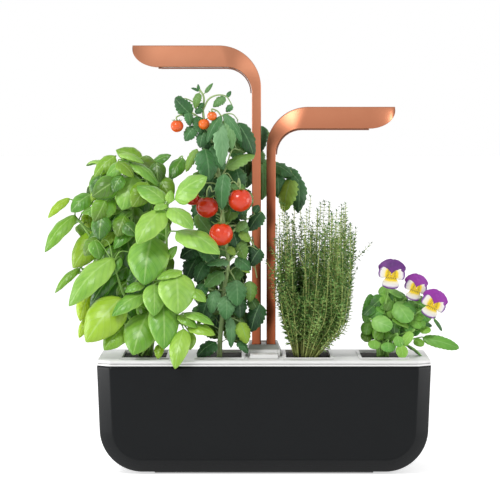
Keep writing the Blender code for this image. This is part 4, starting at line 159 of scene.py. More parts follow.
class Shape:
    """The vertices and faces of one piece. Each vertex has a place on its leaf and a tone."""

    def __init__(self):
        self.points, self.faces, self.marks, self.tones = [], [], [], []

    def point(self, place, mark=(0.5, 0.5), tone=(0.5, 0.0)):
        self.points.append(tuple(place))
        self.marks.append(mark)
        self.tones.append((tone[0], tone[1], 0.0, 1.0))
        return len(self.points) - 1

    def make(self, name, finish, body, slot, nodes=()):
        mesh = bpy.data.meshes.new(name)
        mesh.from_pydata(self.points, [], self.faces)
        corners = np.empty(len(mesh.loops), dtype=np.int32)
        mesh.loops.foreach_get("vertex_index", corners)
        blade = mesh.uv_layers.new(name="blade")
        blade.data.foreach_set("uv", np.array(self.marks, dtype=np.float32)[corners].ravel())
        tone = mesh.color_attributes.new(name="tone", type="FLOAT_COLOR", domain="POINT")
        tone.data.foreach_set("color", np.array(self.tones, dtype=np.float32).ravel())
        mesh.shade_smooth()
        return placed(name, mesh, finish, body, nodes)


def placed(name, mesh, finish, body, nodes=()):
    """Makes a mesh a piece of the scene that rides on a body and stands for nodes."""
    piece = bpy.data.objects.new(name, mesh)
    bpy.context.scene.collection.objects.link(piece)
    mesh.materials.clear()
    mesh.materials.append(finish)
    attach(piece, body)
    if nodes:
        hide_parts(*nodes)
    return piece


def add_tube(shape, path, radii, sides=6, tone=(0.5, 0.0)):
    """A closed round tube along a path."""
    across = None
    rings = []
    for index, (place, radius) in enumerate(zip(path, radii)):
        ahead = (path[min(index + 1, len(path) - 1)] - path[max(index - 1, 0)]).normalized()
        if across is None:
            across = ahead.orthogonal().normalized()
        across = (across - ahead * across.dot(ahead)).normalized()
        other = ahead.cross(across)
        ring = []
        for side in range(sides):
            turn = 2 * math.pi * side / sides
            spot = place + (across * math.cos(turn) + other * math.sin(turn)) * radius
            ring.append(shape.point(spot, (index / len(path), side / sides), tone))
        rings.append(ring)
    for a, b in zip(rings, rings[1:]):
        for side in range(sides):
            after = (side + 1) % sides
            shape.faces.append((a[side], a[after], b[after], b[side]))
    shape.faces.append(tuple(reversed(rings[0])))
    shape.faces.append(tuple(rings[-1]))


def ovate(u):
    return (u ** 0.55) * ((1 - u) ** 0.8) / 0.401


def toothed(u):
    """A tomato leaflet's outline: broad low down, with a few coarse teeth."""
    tooth = (u * 6.5) % 1.0
    return (u ** 0.5) * ((1 - u) ** 0.75) / 0.425 * (0.86 + 0.24 * tooth)


def scalloped(u):
    """A viola leaf's outline: egg-shaped with small round teeth."""
    return (u ** 0.42) * ((1 - u) ** 0.5) / 0.53 * (0.95 + 0.08 * abs(math.sin(u * 9 * math.pi)))


def spoon(u):
    """A petal's outline: narrow at its foot, broad and round at its end."""
    return (u ** 0.75) * ((1 - u) ** 0.32) / 0.49


# How each kind of blade is shaped: its grid, its side veins, and its relief as shares of its size
BASIL_FORM = {"outline": ovate, "rows": 16, "columns": 10, "blade": BASIL_BLADE,
              "veins": 6, "lean": 0.38, "pucker": 0.085, "cup": 0.32, "arch": 0.13, "wave": 0.05}
TOMATO_FORM = {"outline": toothed, "rows": 20, "columns": 6, "blade": TOMATO_BLADE,
               "veins": 6, "lean": 0.35, "pucker": 0.10, "cup": 0.35, "arch": 0.14, "wave": 0.12}
VIOLA_FORM = {"outline": scalloped, "rows": 18, "columns": 6, "blade": VIOLA_BLADE,
              "veins": 4, "lean": 0.4, "pucker": 0.03, "cup": 0.22, "arch": 0.08, "wave": 0.04}
PETAL_FORM = {"outline": spoon, "rows": 12, "columns": 8, "blade": PETAL_BLADE,
              "veins": 2, "lean": 0.1, "pucker": 0.0, "cup": 0.12, "arch": 0.06, "wave": 0.12}
SEPAL_FORM = {"outline": ovate, "rows": 6, "columns": 2, "blade": SEPAL_BLADE,
              "veins": 1, "lean": 0.0, "pucker": 0.0, "cup": 0.2, "arch": -0.12, "wave": 0.0}


def add_leaf(shape, base, tip, width, face, form, tone=(0.5, 0.0), phase=0.0):
    """A leaf blade as a thin closed skin from base to tip. Its upper side looks towards face."""
    arch, cup = form["arch"], form["cup"]
    along = tip - base
    length = along.length
    side = along.cross(face)
    if side.length < length * 0.15:
        side = along.cross(Vector((0.3, -1, 0.2)))
    side.normalize()
    normal = side.cross(along).normalized()
    rows, columns = form["rows"], form["columns"]
    skins = []
    for skin in (1, -1):
        grid = []
        for row in range(rows + 1):
            u = row / rows
            half = max(form["outline"](min(max(u, 0.004), 0.996)) * width / 2, width * 0.02)
            line = []
            for column in range(columns + 1):
                v = 2 * column / columns - 1
                vein = math.sin(math.pi * form["veins"] * (u + 0.2 - form["lean"] * abs(v))) ** 2
                lift = form["pucker"] * vein * (1 - v * v) - cup * v * v - 0.05 * math.exp(-(v / 0.22) ** 2)
                lift += form["wave"] * v * v * math.sin(6 * math.pi * u + phase + 1.7 * v)
                place = base + along * u + side * (v * half * (1 - 0.25 * cup * v * v))
                place = place + normal * (arch * length * math.sin(math.pi * u) + lift * half)
                line.append(shape.point(place + normal * (skin * form["blade"] / 2), (u, (v + 1) / 2), tone))
            grid.append(line)
        skins.append(grid)
    top, bottom = skins
    for row in range(rows):
        for column in range(columns):
            after, below = column + 1, row + 1
            shape.faces.append((top[row][column], top[below][column], top[below][after], top[row][after]))
            shape.faces.append((bottom[row][column], bottom[row][after], bottom[below][after],
                                bottom[below][column]))
    for row in range(rows):
        shape.faces.append((top[row][0], bottom[row][0], bottom[row + 1][0], top[row + 1][0]))
        shape.faces.append((top[row][-1], top[row + 1][-1], bottom[row + 1][-1], bottom[row][-1]))
    for column in range(columns):
        shape.faces.append((top[0][column], top[0][column + 1], bottom[0][column + 1], bottom[0][column]))
        shape.faces.append((top[-1][column], bottom[-1][column], bottom[-1][column + 1], top[-1][column + 1]))


# Materials

def new_material(name, colour, roughness, metallic=0.0, specular=0.5):
    made = bpy.data.materials.new(name)
    made.use_nodes = True
    shader = made.node_tree.nodes["Principled BSDF"]
    shader.inputs["Base Color"].default_value = (*colour, 1.0)
    shader.inputs["Roughness"].default_value = roughness
    shader.inputs["Metallic"].default_value = metallic
    shader.inputs["Specular IOR Level"].default_value = specular
    return made, shader


class Nodes:
    """Short ways to add shader nodes to a material or a world."""

    def __init__(self, owner):
        self.tree = owner.node_tree

    def new(self, kind, **inputs):
        node = self.tree.nodes.new(kind)
        for name, value in inputs.items():
            self.feed(node.inputs[name.replace("_", " ")], value)
        return node

    def feed(self, socket, value):
        if isinstance(value, bpy.types.NodeSocket):
            self.tree.links.new(value, socket)
        else:
            socket.default_value = value

    def math(self, operation, a, b=0.0, c=0.0, clamp=False):
        node = self.tree.nodes.new("ShaderNodeMath")
        node.operation = operation
        node.use_clamp = clamp
        for socket, value in zip(node.inputs, (a, b, c)):
            self.feed(socket, value)
        return node.outputs[0]

    def mix(self, factor, a, b):
        node = self.tree.nodes.new("ShaderNodeMix")
        node.data_type = "RGBA"
        node.clamp_factor = True
        self.feed(node.inputs[0], factor)
        for socket, value in ((node.inputs[6], a), (node.inputs[7], b)):
            self.feed(socket, value if isinstance(value, bpy.types.NodeSocket) else (*value, 1.0))
        return node.outputs[2]

    def ramp(self, factor, stops):
        node = self.tree.nodes.new("ShaderNodeValToRGB")
        self.feed(node.inputs[0], factor)
        elements = node.color_ramp.elements
        while len(elements) < len(stops):
            elements.new(0.5)
        for element, (place, colour) in zip(elements, stops):
            element.position = place
            element.color = (*colour, 1.0)
        return node.outputs[0]

    def noise(self, scale, detail=3.0, roughness=0.55):
        coordinates = self.tree.nodes.new("ShaderNodeTexCoord")
        node = self.new("ShaderNodeTexNoise", Scale=scale, Detail=detail, Roughness=roughness)
        self.tree.links.new(coordinates.outputs["Object"], node.inputs["Vector"])
        return node.outputs["Fac"]

    def bump(self, shader, height, strength, distance):
        node = self.new("ShaderNodeBump", Height=height, Strength=strength, Distance=distance)
        self.tree.links.new(node.outputs["Normal"], shader.inputs["Normal"])

    def tones(self):
        """The two tones that a piece's points carry."""
        tone = self.new("ShaderNodeAttribute")
        tone.attribute_name = "tone"
        parts = self.new("ShaderNodeSeparateColor", Color=tone.outputs["Color"])
        return parts.outputs[0], parts.outputs[1]

    def blade_place(self):
        """How far along its blade a point lies, from 0 to 1, and how far across it, from -1 to 1."""
        mark = self.new("ShaderNodeUVMap")
        mark.uv_map = "blade"
        place = self.new("ShaderNodeSeparateXYZ", Vector=mark.outputs["UV"])
        return place.outputs["X"], self.math("MULTIPLY_ADD", place.outputs["Y"], 2.0, -1.0)

    def seen_directly(self):
        """1 for the rays of the camera, of gloss and of glass."""
        path = self.new("ShaderNodeLightPath")
        seen = self.math("MAXIMUM", path.outputs["Is Camera Ray"], path.outputs["Is Glossy Ray"])
        return self.math("MAXIMUM", seen, path.outputs["Is Transmission Ray"])


def textured(name, colour, roughness, grain_scale, grain_depth, spread=0.12, metallic=0.0, specular=0.5):
    """A moulded or cast surface: a fine grain in bump and roughness, and a slight variation in colour."""
    made, shader = new_material(name, colour, roughness, metallic, specular)
    nodes = Nodes(made)
    cloud = nodes.noise(28.0)
    darker = tuple(c * (1 - spread) for c in colour)
    lighter = tuple(min(1.0, c * (1 + spread)) for c in colour)
    nodes.feed(shader.inputs["Base Color"], nodes.mix(cloud, darker, lighter))
    grain = nodes.noise(grain_scale, 2.0)
    nodes.feed(shader.inputs["Roughness"], nodes.math("MULTIPLY_ADD", grain, 0.16, roughness - 0.08))
    nodes.bump(shader, grain, 0.35, grain_depth)
    return made


def leaf_material(name, dark, green, bright, yellow, vein, roughness, veins, lean, vein_weight,
                  specular=0.45):
    """A leaf: its first tone picks the green, partly its own tone and partly painted shade and light, its
    second the yellow, partly painted light through the blade, and pale veins leave a midrib. Painted shade
    darkens the blade towards its tip and along its side veins, and a painted highlight lightens its edge.
    """
    made, shader = new_material(name, green, roughness, specular=specular)
    nodes = Nodes(made)
    brightness, yellowness = nodes.tones()
    u, v = nodes.blade_place()
    across = nodes.math("ABSOLUTE", v)
    midrib = nodes.math("SUBTRACT", 1.0, nodes.math("MULTIPLY", across, 11.0), clamp=True)
    run = nodes.math("ADD", nodes.math("MULTIPLY_ADD", across, -lean, u), 0.2)
    wave = nodes.math("ABSOLUTE", nodes.math("SINE", nodes.math("MULTIPLY", run, math.pi * veins)))
    side_vein = nodes.math("SUBTRACT", 1.0, nodes.math("MULTIPLY", wave, 6.0), clamp=True)
    side_vein = nodes.math("MULTIPLY", side_vein, 0.55)
    vein_mask = nodes.math("MAXIMUM", midrib, side_vein)
    cloud = nodes.noise(55.0, 3.0)
    level = nodes.math("ADD", brightness, nodes.math("MULTIPLY_ADD", cloud, 0.5, -0.25), clamp=True)
    # Painted shade of the quilting: darker along the side veins, lighter between them.
    level = nodes.math("ADD", level, nodes.math("MULTIPLY_ADD", wave, 0.12, -0.06), clamp=True)
    # Painted shade: lighter at the blade's base, darker towards its tip.
    level = nodes.math("ADD", level, nodes.math("MULTIPLY_ADD", u, -0.34, 0.15), clamp=True)
    # Painted highlight: lighter along the blade's edge.
    rim = nodes.math("POWER", across, 9.0)
    level = nodes.math("MULTIPLY_ADD", rim, 0.35, level, clamp=True)
    body = nodes.ramp(level, ((0.0, dark), (0.45, green), (1.0, bright)))
    body = nodes.mix(yellowness, body, yellow)
    colour = nodes.mix(nodes.math("MULTIPLY", vein_mask, vein_weight), body, vein)
    nodes.feed(shader.inputs["Base Color"], colour)
    fine = nodes.noise(420.0, 2.0)
    relief = nodes.math("ADD", nodes.math("MULTIPLY", wave, 0.8), nodes.math("MULTIPLY", fine, 0.5))
    nodes.bump(shader, relief, 0.5, 0.35 * MM)
    return made


def stem_material(name, low, high):
    made, shader = new_material(name, high, 0.5)
    nodes = Nodes(made)
    nodes.feed(shader.inputs["Base Color"], nodes.mix(nodes.noise(90.0), low, high))
    nodes.bump(shader, nodes.noise(900.0, 1.0), 0.3, 0.1 * MM)
    return made


def fruit_material(name):
    """Ripe tomato skin: orange to deep red by its tone, with faint pale flecks under a gloss."""
    made, shader = new_material(name, (0.6, 0.03, 0.01), 0.16)
    nodes = Nodes(made)
    ripeness, _ = nodes.tones()
    cloud = nodes.math("MULTIPLY_ADD", nodes.noise(60.0), 0.4, -0.2)
    ripe = nodes.math("ADD", ripeness, cloud, clamp=True)
    body = nodes.ramp(ripe, ((0.0, (0.90, 0.17, 0.012)), (0.5, (0.78, 0.045, 0.008)),
                             (1.0, (0.42, 0.014, 0.006))))
    flecks = nodes.math("GREATER_THAN", nodes.noise(1500.0, 1.0), 0.68)
    colour = nodes.mix(nodes.math("MULTIPLY", flecks, 0.2), body, (0.95, 0.35, 0.08))
    nodes.feed(shader.inputs["Base Color"], colour)
    nodes.bump(shader, nodes.noise(120.0, 2.0), 0.08, 0.3 * MM)
    return made


def petal_material(name):
    """Viola petals: violet to magenta by the first tone, and with a white and yellow face by the second."""
    made, shader = new_material(name, (0.2, 0.02, 0.3), 0.55)
    shader.inputs["Sheen Weight"].default_value = 0.15
    nodes = Nodes(made)
    magenta, faced = nodes.tones()
    u, v = nodes.blade_place()
    cloud = nodes.noise(140.0, 2.0)
    violet = nodes.mix(magenta, (0.045, 0.006, 0.10), (0.30, 0.012, 0.33))
    violet = nodes.mix(nodes.math("MULTIPLY", cloud, 0.5), violet, (0.35, 0.05, 0.45))
    edge = nodes.math("ADD", u, nodes.math("MULTIPLY_ADD", cloud, 0.16, -0.08))
    outer = nodes.math("POWER", nodes.math("ABSOLUTE", v), 3.0)
    edge = nodes.math("ADD", edge, nodes.math("MULTIPLY", outer, 0.12))
    face = nodes.ramp(edge, ((0.0, (0.55, 0.30, 0.0)), (0.12, (0.90, 0.62, 0.0)),
                             (0.42, (0.92, 0.66, 0.01)), (0.56, (0.90, 0.84, 0.62)),
                             (0.80, (0.88, 0.84, 0.86)), (0.93, (0.16, 0.02, 0.26))))
    streaks = nodes.math("ABSOLUTE", nodes.math("SINE", nodes.math("MULTIPLY", v, 9.0)))
    away = nodes.math("ABSOLUTE", nodes.math("SUBTRACT", u, 0.24))
    near = nodes.math("SUBTRACT", 1.0, nodes.math("MULTIPLY", away, 7.0), clamp=True)
    streaks = nodes.math("MULTIPLY", nodes.math("GREATER_THAN", streaks, 0.72), near)
    face = nodes.mix(streaks, face, (0.02, 0.004, 0.02))
    nodes.feed(shader.inputs["Base Color"], nodes.mix(faced, violet, face))
    nodes.bump(shader, nodes.noise(700.0, 2.0), 0.4, 0.12 * MM)
    return made


def copper_material(name):
    """Fine-blasted anodised metal, with painted shade and reflection ramped by height: darker and redder down
    the mast, paler on the head.
    """
    made, shader = new_material(name, (0.45, 0.19, 0.11), 0.34, metallic=1.0)
    nodes = Nodes(made)
    coordinates = nodes.new("ShaderNodeTexCoord")
    place = nodes.new("ShaderNodeSeparateXYZ", Vector=coordinates.outputs["Object"])
    # Painted shade and reflection: the ramp by height darkens and reddens the mast low down and pales the
    # head.
    rise = nodes.math("DIVIDE", nodes.math("SUBTRACT", place.outputs["Z"], 0.12), 0.30, clamp=True)
    body = nodes.ramp(rise, ((0.0, (0.33, 0.085, 0.035)), (0.45, (0.38, 0.115, 0.055)),
                             (1.0, (0.47, 0.205, 0.118))))
    body = nodes.mix(nodes.math("MULTIPLY", nodes.noise(45.0), 0.35), body, (0.36, 0.12, 0.06))
    nodes.feed(shader.inputs["Base Color"], body)
    grain = nodes.noise(1600.0, 2.0)
    nodes.feed(shader.inputs["Roughness"], nodes.math("MULTIPLY_ADD", grain, 0.12, 0.29))
    nodes.bump(shader, grain, 0.25, 0.05 * MM)
    return made


def soil_material(name):
    made, shader = new_material(name, (0.012, 0.012, 0.012), 0.9)
    nodes = Nodes(made)
    crumbs = nodes.noise(260.0, 4.0, 0.7)
    colour = nodes.ramp(crumbs, ((0.35, (0.006, 0.006, 0.007)), (0.62, (0.030, 0.026, 0.020)),
                                 (0.75, (0.09, 0.075, 0.05))))
    nodes.feed(shader.inputs["Base Color"], colour)
    nodes.bump(shader, crumbs, 0.9, 0.9 * MM)
    return made


def floor_material(name):
    """White to the camera, but for the object's shadow."""
    made = bpy.data.materials.new(name)
    made.use_nodes = True
    nodes = Nodes(made)
    shader = made.node_tree.nodes["Principled BSDF"]
    shader.inputs["Base Color"].default_value = (0.93, 0.93, 0.93, 1)
    shader.inputs["Roughness"].default_value = 0.9
    shader.inputs["Emission Color"].default_value = (1, 1, 1, 1)
    glow = nodes.math("MULTIPLY", nodes.seen_directly(), FLOOR_GLOW)
    nodes.feed(shader.inputs["Emission Strength"], glow)
    return made


FINISHES = {
    "black_gloss": textured("black_gloss", (0.0062, 0.0072, 0.0082), 0.22, 900.0, 0.02 * MM, specular=0.13),
    "white_plastic": textured("white_plastic", (0.84, 0.84, 0.83), 0.34, 1400.0, 0.03 * MM, 0.02),
    "frosted_plastic": textured("frosted_plastic", (0.42, 0.44, 0.40), 0.42, 1800.0, 0.05 * MM, 0.05),
    "copper": copper_material("copper"),
    # The dark trim's colour is partly a dark cover strip's own and partly a painted shadow line along the
    # arms' inner edge.
    "dark_trim": textured("dark_trim", (0.22, 0.075, 0.035), 0.42, 1500.0, 0.05 * MM),
    "rubber": textured("rubber", (0.018, 0.018, 0.018), 0.8, 700.0, 0.1 * MM),
    "steel": textured("steel", (0.6, 0.6, 0.62), 0.28, 1500.0, 0.02 * MM, 0.05, metallic=1.0),
    "circuit": textured("circuit", (0.02, 0.14, 0.06), 0.45, 1100.0, 0.03 * MM, 0.2),
    "diffuser": textured("diffuser", (0.9, 0.9, 0.88), 0.4, 1200.0, 0.04 * MM, 0.02),
    "plug": soil_material("soil"),
    "felt": textured("felt", (0.5, 0.5, 0.46), 0.95, 1300.0, 0.3 * MM, 0.15),
    "basil_leaf": leaf_material(
        "basil_leaf", (0.016, 0.085, 0.007), (0.10, 0.32, 0.018), (0.36, 0.64, 0.11),
        (0.42, 0.62, 0.004), (0.50, 0.74, 0.26), 0.33, 6, 0.38, 0.5, 0.5),
    "tomato_leaf": leaf_material(
        "tomato_leaf", (0.008, 0.042, 0.012), (0.055, 0.19, 0.052), (0.22, 0.42, 0.20),
        (0.36, 0.55, 0.02), (0.26, 0.46, 0.22), 0.50, 6, 0.35, 0.5, 0.35),
    "viola_leaf": leaf_material(
        "viola_leaf", (0.015, 0.085, 0.012), (0.095, 0.33, 0.035), (0.30, 0.60, 0.13),
        (0.36, 0.62, 0.03), (0.42, 0.68, 0.25), 0.45, 4, 0.40, 0.35),
    "thyme_leaf": leaf_material(
        "thyme_leaf", (0.012, 0.045, 0.008), (0.10, 0.27, 0.045), (0.42, 0.62, 0.20),
        (0.50, 0.56, 0.10), (0.45, 0.62, 0.22), 0.55, 1, 0.0, 0.2),
    "viola_petal": petal_material("viola_petal"),
    "tomato_fruit": fruit_material("tomato_fruit"),
}
BASIL_STEM = stem_material("basil_stem", (0.16, 0.34, 0.05), (0.34, 0.58, 0.14))
TOMATO_STEM = stem_material("tomato_stem", (0.20, 0.34, 0.10), (0.46, 0.60, 0.26))
THYME_STEM = stem_material("thyme_stem", (0.30, 0.36, 0.08), (0.62, 0.68, 0.24))
VIOLA_STEM = stem_material("viola_stem", (0.16, 0.38, 0.06), (0.34, 0.60, 0.14))
SEPAL = stem_material("tomato_sepal", (0.08, 0.22, 0.03), (0.24, 0.42, 0.09))


def make_camera():
    camera = bpy.data.objects.new("camera", bpy.data.cameras.new("camera"))
    camera.location = CAMERA_PLACE
    camera.rotation_euler = (math.pi / 2 + CAMERA_PITCH, 0, 0)
    camera.data.sensor_width = SENSOR_WIDTH
    camera.data.sensor_fit = "HORIZONTAL"
    camera.data.lens = SENSOR_WIDTH * PHOTO_FOCAL_PIXELS / PHOTO_PIXELS
    camera.data.clip_end = 50
    bpy.context.scene.collection.objects.link(camera)
    bpy.context.scene.camera = camera


def make_lights():
    for name, place, size, power in LAMPS:
        lamp = bpy.data.lights.new(name, "AREA")
        lamp.shape = "RECTANGLE"
        lamp.size, lamp.size_y = size
        lamp.energy = power
        holder = bpy.data.objects.new(name, lamp)
        holder.location = place
        holder.rotation_euler = (LAMP_AIM - Vector(place)).to_track_quat("-Z", "Y").to_euler()
        bpy.context.scene.collection.objects.link(holder)


def make_world():
    """Soft light from all round, and white where the camera, gloss or glass looks at it."""
    world = bpy.data.worlds.new("studio")
    bpy.context.scene.world = world
    world.use_nodes = True
    world.node_tree.nodes.clear()
    nodes = Nodes(world)
    soft = nodes.new("ShaderNodeBackground", Color=(1, 1, 1, 1), Strength=AMBIENT)
    white = nodes.new("ShaderNodeBackground", Color=(1, 1, 1, 1))
    mixer = nodes.new("ShaderNodeMixShader")
    nodes.feed(mixer.inputs[0], nodes.seen_directly())
    nodes.feed(mixer.inputs[1], soft.outputs[0])
    nodes.feed(mixer.inputs[2], white.outputs[0])
    nodes.new("ShaderNodeOutputWorld", Surface=mixer.outputs[0])
    bpy.context.scene.view_settings.view_transform = "Standard"


def make_floor():
    builder = bmesh.new()
    bmesh.ops.create_grid(builder, x_segments=1, y_segments=1, size=FLOOR_HALF_WIDTH)
    mesh = bpy.data.meshes.new("floor")
    builder.to_mesh(mesh)
    builder.free()
    mesh.materials.append(floor_material("floor"))
    floor = bpy.data.objects.new("floor", mesh)
    bpy.context.scene.collection.objects.link(floor)


def softened(points, radius, steps=3):
    """A polyline in a plane with its inner corners rounded."""
    soft = [Vector(points[0])]
    for before, corner, after in zip(points, points[1:], points[2:]):
        before, corner, after = Vector(before), Vector(corner), Vector(after)
        reach = min(radius, (corner - before).length / 2, (after - corner).length / 2)
        start = corner + (before - corner).normalized() * reach
        end = corner + (after - corner).normalized() * reach
        for step in range(steps + 1):
            t = step / steps
            soft.append(start * (1 - t) ** 2 + corner * (2 * t * (1 - t)) + end * t * t)
    return soft + [Vector(points[-1])]


def make_pot():
    """The pot's shell: its front outline, lofted to the back through soft chamfers and given a wall."""
    low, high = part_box("pot_shell")
    half_depth = (high.y - low.y) / 2
    middle_y = (high.y + low.y) / 2

    def outline(inset):
        lean = math.tan(POT_DRAFT)
        radius = POT_CORNER_RADIUS - inset
        side = high.x - inset / math.cos(POT_DRAFT)
        centre_z = low.z + POT_CORNER_RADIUS
        centre_x = side - (high.z - centre_z) * lean - radius / math.cos(POT_DRAFT)
        right = [(side, high.z), (side - lean * POT_RIM, high.z - POT_RIM)]
        for step in range(POT_CORNER_STEPS + 1):
            angle = -POT_DRAFT - (math.pi / 2 - POT_DRAFT) * step / POT_CORNER_STEPS
            right.append((centre_x + radius * math.cos(angle), centre_z + radius * math.sin(angle)))
        return right + [(-x, z) for x, z in reversed(right)]

    flat_inset = POT_CHAMFER * POT_FLAT_CHAMFERS
    across = softened([(-half_depth, flat_inset), (-half_depth, POT_CHAMFER), (-half_depth + POT_CHAMFER, 0),
                       (half_depth - POT_CHAMFER, 0), (half_depth, POT_CHAMFER), (half_depth, flat_inset)],
                      POT_SOFTNESS)
    builder = bmesh.new()
    rings = [[builder.verts.new((x, middle_y + y, z)) for x, z in outline(inset)] for y, inset in across]
    for a, b in zip(rings, rings[1:]):
        for i in range(len(a) - 1):
            builder.faces.new((a[i], a[i + 1], b[i + 1], b[i]))
    builder.faces.new(list(reversed(rings[0])))
    builder.faces.new(rings[-1])
    bmesh.ops.recalc_face_normals(builder, faces=builder.faces)
    mesh = bpy.data.meshes.new("pot_body")
    builder.to_mesh(mesh)
    builder.free()
    mesh.shade_smooth()
    mesh.set_sharp_from_angle(angle=math.radians(30))
    pot = placed("pot_body", mesh, FINISHES["black_gloss"], "pot", ["pot_shell"])
    wall = pot.modifiers.new("wall", "SOLIDIFY")
    wall.thickness = POT_WALL
    wall.offset = -1


def arm_stations(low, high, side):
    """Sections along an arm from its own box: outer x and z, inner x and z, and how far round the bend."""
    glide_low, glide_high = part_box("mast_glide_left" if side < 0 else "mast_glide_right")
    outer_x = min(abs(glide_low.x), abs(glide_high.x))
    inner_x = max(abs(glide_low.x), abs(glide_high.x))
    top_z = high.z
    low_z = top_z - HEAD_THICKNESS
    tip_x = max(abs(low.x), abs(high.x))
    outer_centre = (outer_x + BEND_OUTER_RADIUS, top_z - BEND_OUTER_RADIUS)
    inner_centre = (inner_x + BEND_INNER_RADIUS, low_z - BEND_INNER_RADIUS)
    stations = [(outer_x, low.z, inner_x, low.z, 0.0)]
    for step in range(BEND_STEPS + 1):
        share = step / BEND_STEPS
        away, up = math.cos(share * math.pi / 2), math.sin(share * math.pi / 2)
        stations.append((outer_centre[0] - BEND_OUTER_RADIUS * away, outer_centre[1] + BEND_OUTER_RADIUS * up,
                         inner_centre[0] - BEND_INNER_RADIUS * away, inner_centre[1] + BEND_INNER_RADIUS * up,
                         share))
    for step in range(TIP_STEPS + 1):
        along = math.sin(math.pi / 2 * step / TIP_STEPS)
        rise = (HEAD_THICKNESS - TIP_BLUNT) * (1 - math.sqrt(max(0.0, 1 - along * along)))
        x = tip_x - TIP_LENGTH * (1 - along)
        stations.append((x, top_z, x, low_z + rise, 1.0))
    return stations


def make_arm(name, side):
    """An arm: a loft with softened edges, and a recess for the lamp under its head."""
    low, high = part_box(f"arm_shell_{name}")
    glide_low, glide_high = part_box(f"mast_glide_{name}")
    middle_y = (glide_low.y + glide_high.y) / 2
    mast_depth = glide_high.y - glide_low.y
    builder = bmesh.new()
    rings = []
    for outer_x, outer_z, inner_x, inner_z, share in arm_stations(low, high, side):
        blend = share * share * (3 - 2 * share)
        inner_half = (mast_depth + (HEAD_DEPTH - mast_depth) * blend) / 2
        outer_half = (MAST_OUTER_DEPTH + (HEAD_OUTER_DEPTH - MAST_OUTER_DEPTH) * blend) / 2
        across = Vector((inner_x - outer_x, inner_z - outer_z))
        deep = across.length
        corners = [(0, -outer_half), (deep, -inner_half), (deep, inner_half), (0, outer_half)]
        ring = []
        for index, corner in enumerate(corners):
            before, after = Vector(corners[index - 1]), Vector(corners[(index + 1) % 4])
            corner = Vector(corner)
            edge = min(ARM_EDGE, deep / 3)
            start = corner + (before - corner).normalized() * edge
            end = corner + (after - corner).normalized() * edge
            for step in range(ARM_EDGE_STEPS + 1):
                t = step / ARM_EDGE_STEPS
                spot = start * (1 - t) ** 2 + corner * (2 * t * (1 - t)) + end * t * t
                place = Vector((outer_x, outer_z)) + across * (spot.x / deep)
                ring.append(builder.verts.new((side * place.x, middle_y + spot.y, place.y)))
        rings.append(ring)
    for a, b in zip(rings, rings[1:]):
        for i in range(len(a)):
            j = (i + 1) % len(a)
            builder.faces.new((a[i], a[j], b[j], b[i]))
    builder.faces.new(rings[0])
    builder.faces.new(list(reversed(rings[-1])))
    bmesh.ops.recalc_face_normals(builder, faces=builder.faces)
    mesh = bpy.data.meshes.new(f"lamp_arm_{name}")
    builder.to_mesh(mesh)
    builder.free()
    mesh.shade_smooth()
    mesh.set_sharp_from_angle(angle=math.radians(40))
    arm = placed(f"lamp_arm_{name}", mesh, FINISHES["copper"], f"arm_{name}", [f"arm_shell_{name}"])
    cut_recess(arm, *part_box(f"lamp_diffuser_{name}"))


def cut_recess(arm, lamp_low, lamp_high):
    """Opens an arm's head from below for its lamp."""
    gap = Vector((0.3, 0.3, 0)) * MM
    cutter_builder = bmesh.new()
    bmesh.ops.create_cube(cutter_builder, size=1)
    recess_low = Vector(lamp_low) - gap - Vector((0, 0, RECESS_OVERRUN))
    recess_high = Vector(lamp_high) + gap
    recess_high.z = lamp_low.z + RECESS_HEIGHT
    bmesh.ops.scale(cutter_builder, vec=recess_high - recess_low, verts=cutter_builder.verts)
    bmesh.ops.translate(cutter_builder, vec=(recess_high + recess_low) / 2, verts=cutter_builder.verts)
    cutter_mesh = bpy.data.meshes.new("recess")
    cutter_builder.to_mesh(cutter_mesh)
    cutter_builder.free()
    cutter = bpy.data.objects.new("recess", cutter_mesh)
    bpy.context.scene.collection.objects.link(cutter)
    cut = arm.modifiers.new("recess", "BOOLEAN")
    cut.operation = "DIFFERENCE"
    cut.object = cutter
    apply_modifiers(arm)
    bpy.data.objects.remove(cutter, do_unlink=True)


def apply_modifiers(piece):
    """Keeps the evaluated mesh as the piece's own."""
    bpy.context.view_layer.update()
    evaluated = piece.evaluated_get(bpy.context.evaluated_depsgraph_get())
    mesh = bpy.data.meshes.new_from_object(evaluated)
    piece.modifiers.clear()
    old = piece.data
    piece.data = mesh
    bpy.data.meshes.remove(old)


def dress_node(name, finish, bevel=0.0):
    node = frame["nodes"][name]
    for slot in node.material_slots:
        slot.material = FINISHES[finish]
    if bevel:
        edge = node.modifiers.new("edge", "BEVEL")
        edge.width = bevel
        edge.segments = 2
        edge.limit_method = "ANGLE"
        edge.angle_limit = math.radians(40)


def make_soil(pod):
    """The grow plug: a block whose top is crumbly."""
    low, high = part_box(f"grow_plug_{pod}")
    size = high - low
    columns, rows = SOIL_COLUMNS, SOIL_ROWS
    shape = Shape()
    top = []
    for row in range(rows + 1):
        line = []
        for column in range(columns + 1):
            x, y = low.x + size.x * column / columns, low.y + size.y * row / rows
            edge = row in (0, rows) or column in (0, columns)
            crumb = noise.noise(Vector((x, y, 0)) * 320) * 0.5 + noise.noise(Vector((x, y, 3)) * 140) * 0.5
            z = high.z - SOIL_DROP + (0 if edge else CRUMB_HEIGHT * crumb)
            line.append(shape.point((x, y, min(z, high.z))))
        top.append(line)
    for row in range(rows):
        for column in range(columns):
            shape.faces.append((top[row][column], top[row][column + 1], top[row + 1][column + 1],
                                top[row + 1][column]))
    rim = ([top[0][c] for c in range(columns)] + [top[r][columns] for r in range(rows)]
           + [top[rows][c] for c in range(columns, 0, -1)] + [top[r][0] for r in range(rows, 0, -1)])
    base = [shape.point((shape.points[i][0], shape.points[i][1], low.z)) for i in rim]
    for i in range(len(rim)):
        j = (i + 1) % len(rim)
        shape.faces.append((rim[j], rim[i], base[i], base[j]))
    shape.faces.append(tuple(reversed(base)))
    shape.make(f"soil_{pod}", FINISHES["plug"], f"pod_{pod}", "plug", [f"grow_plug_{pod}"])


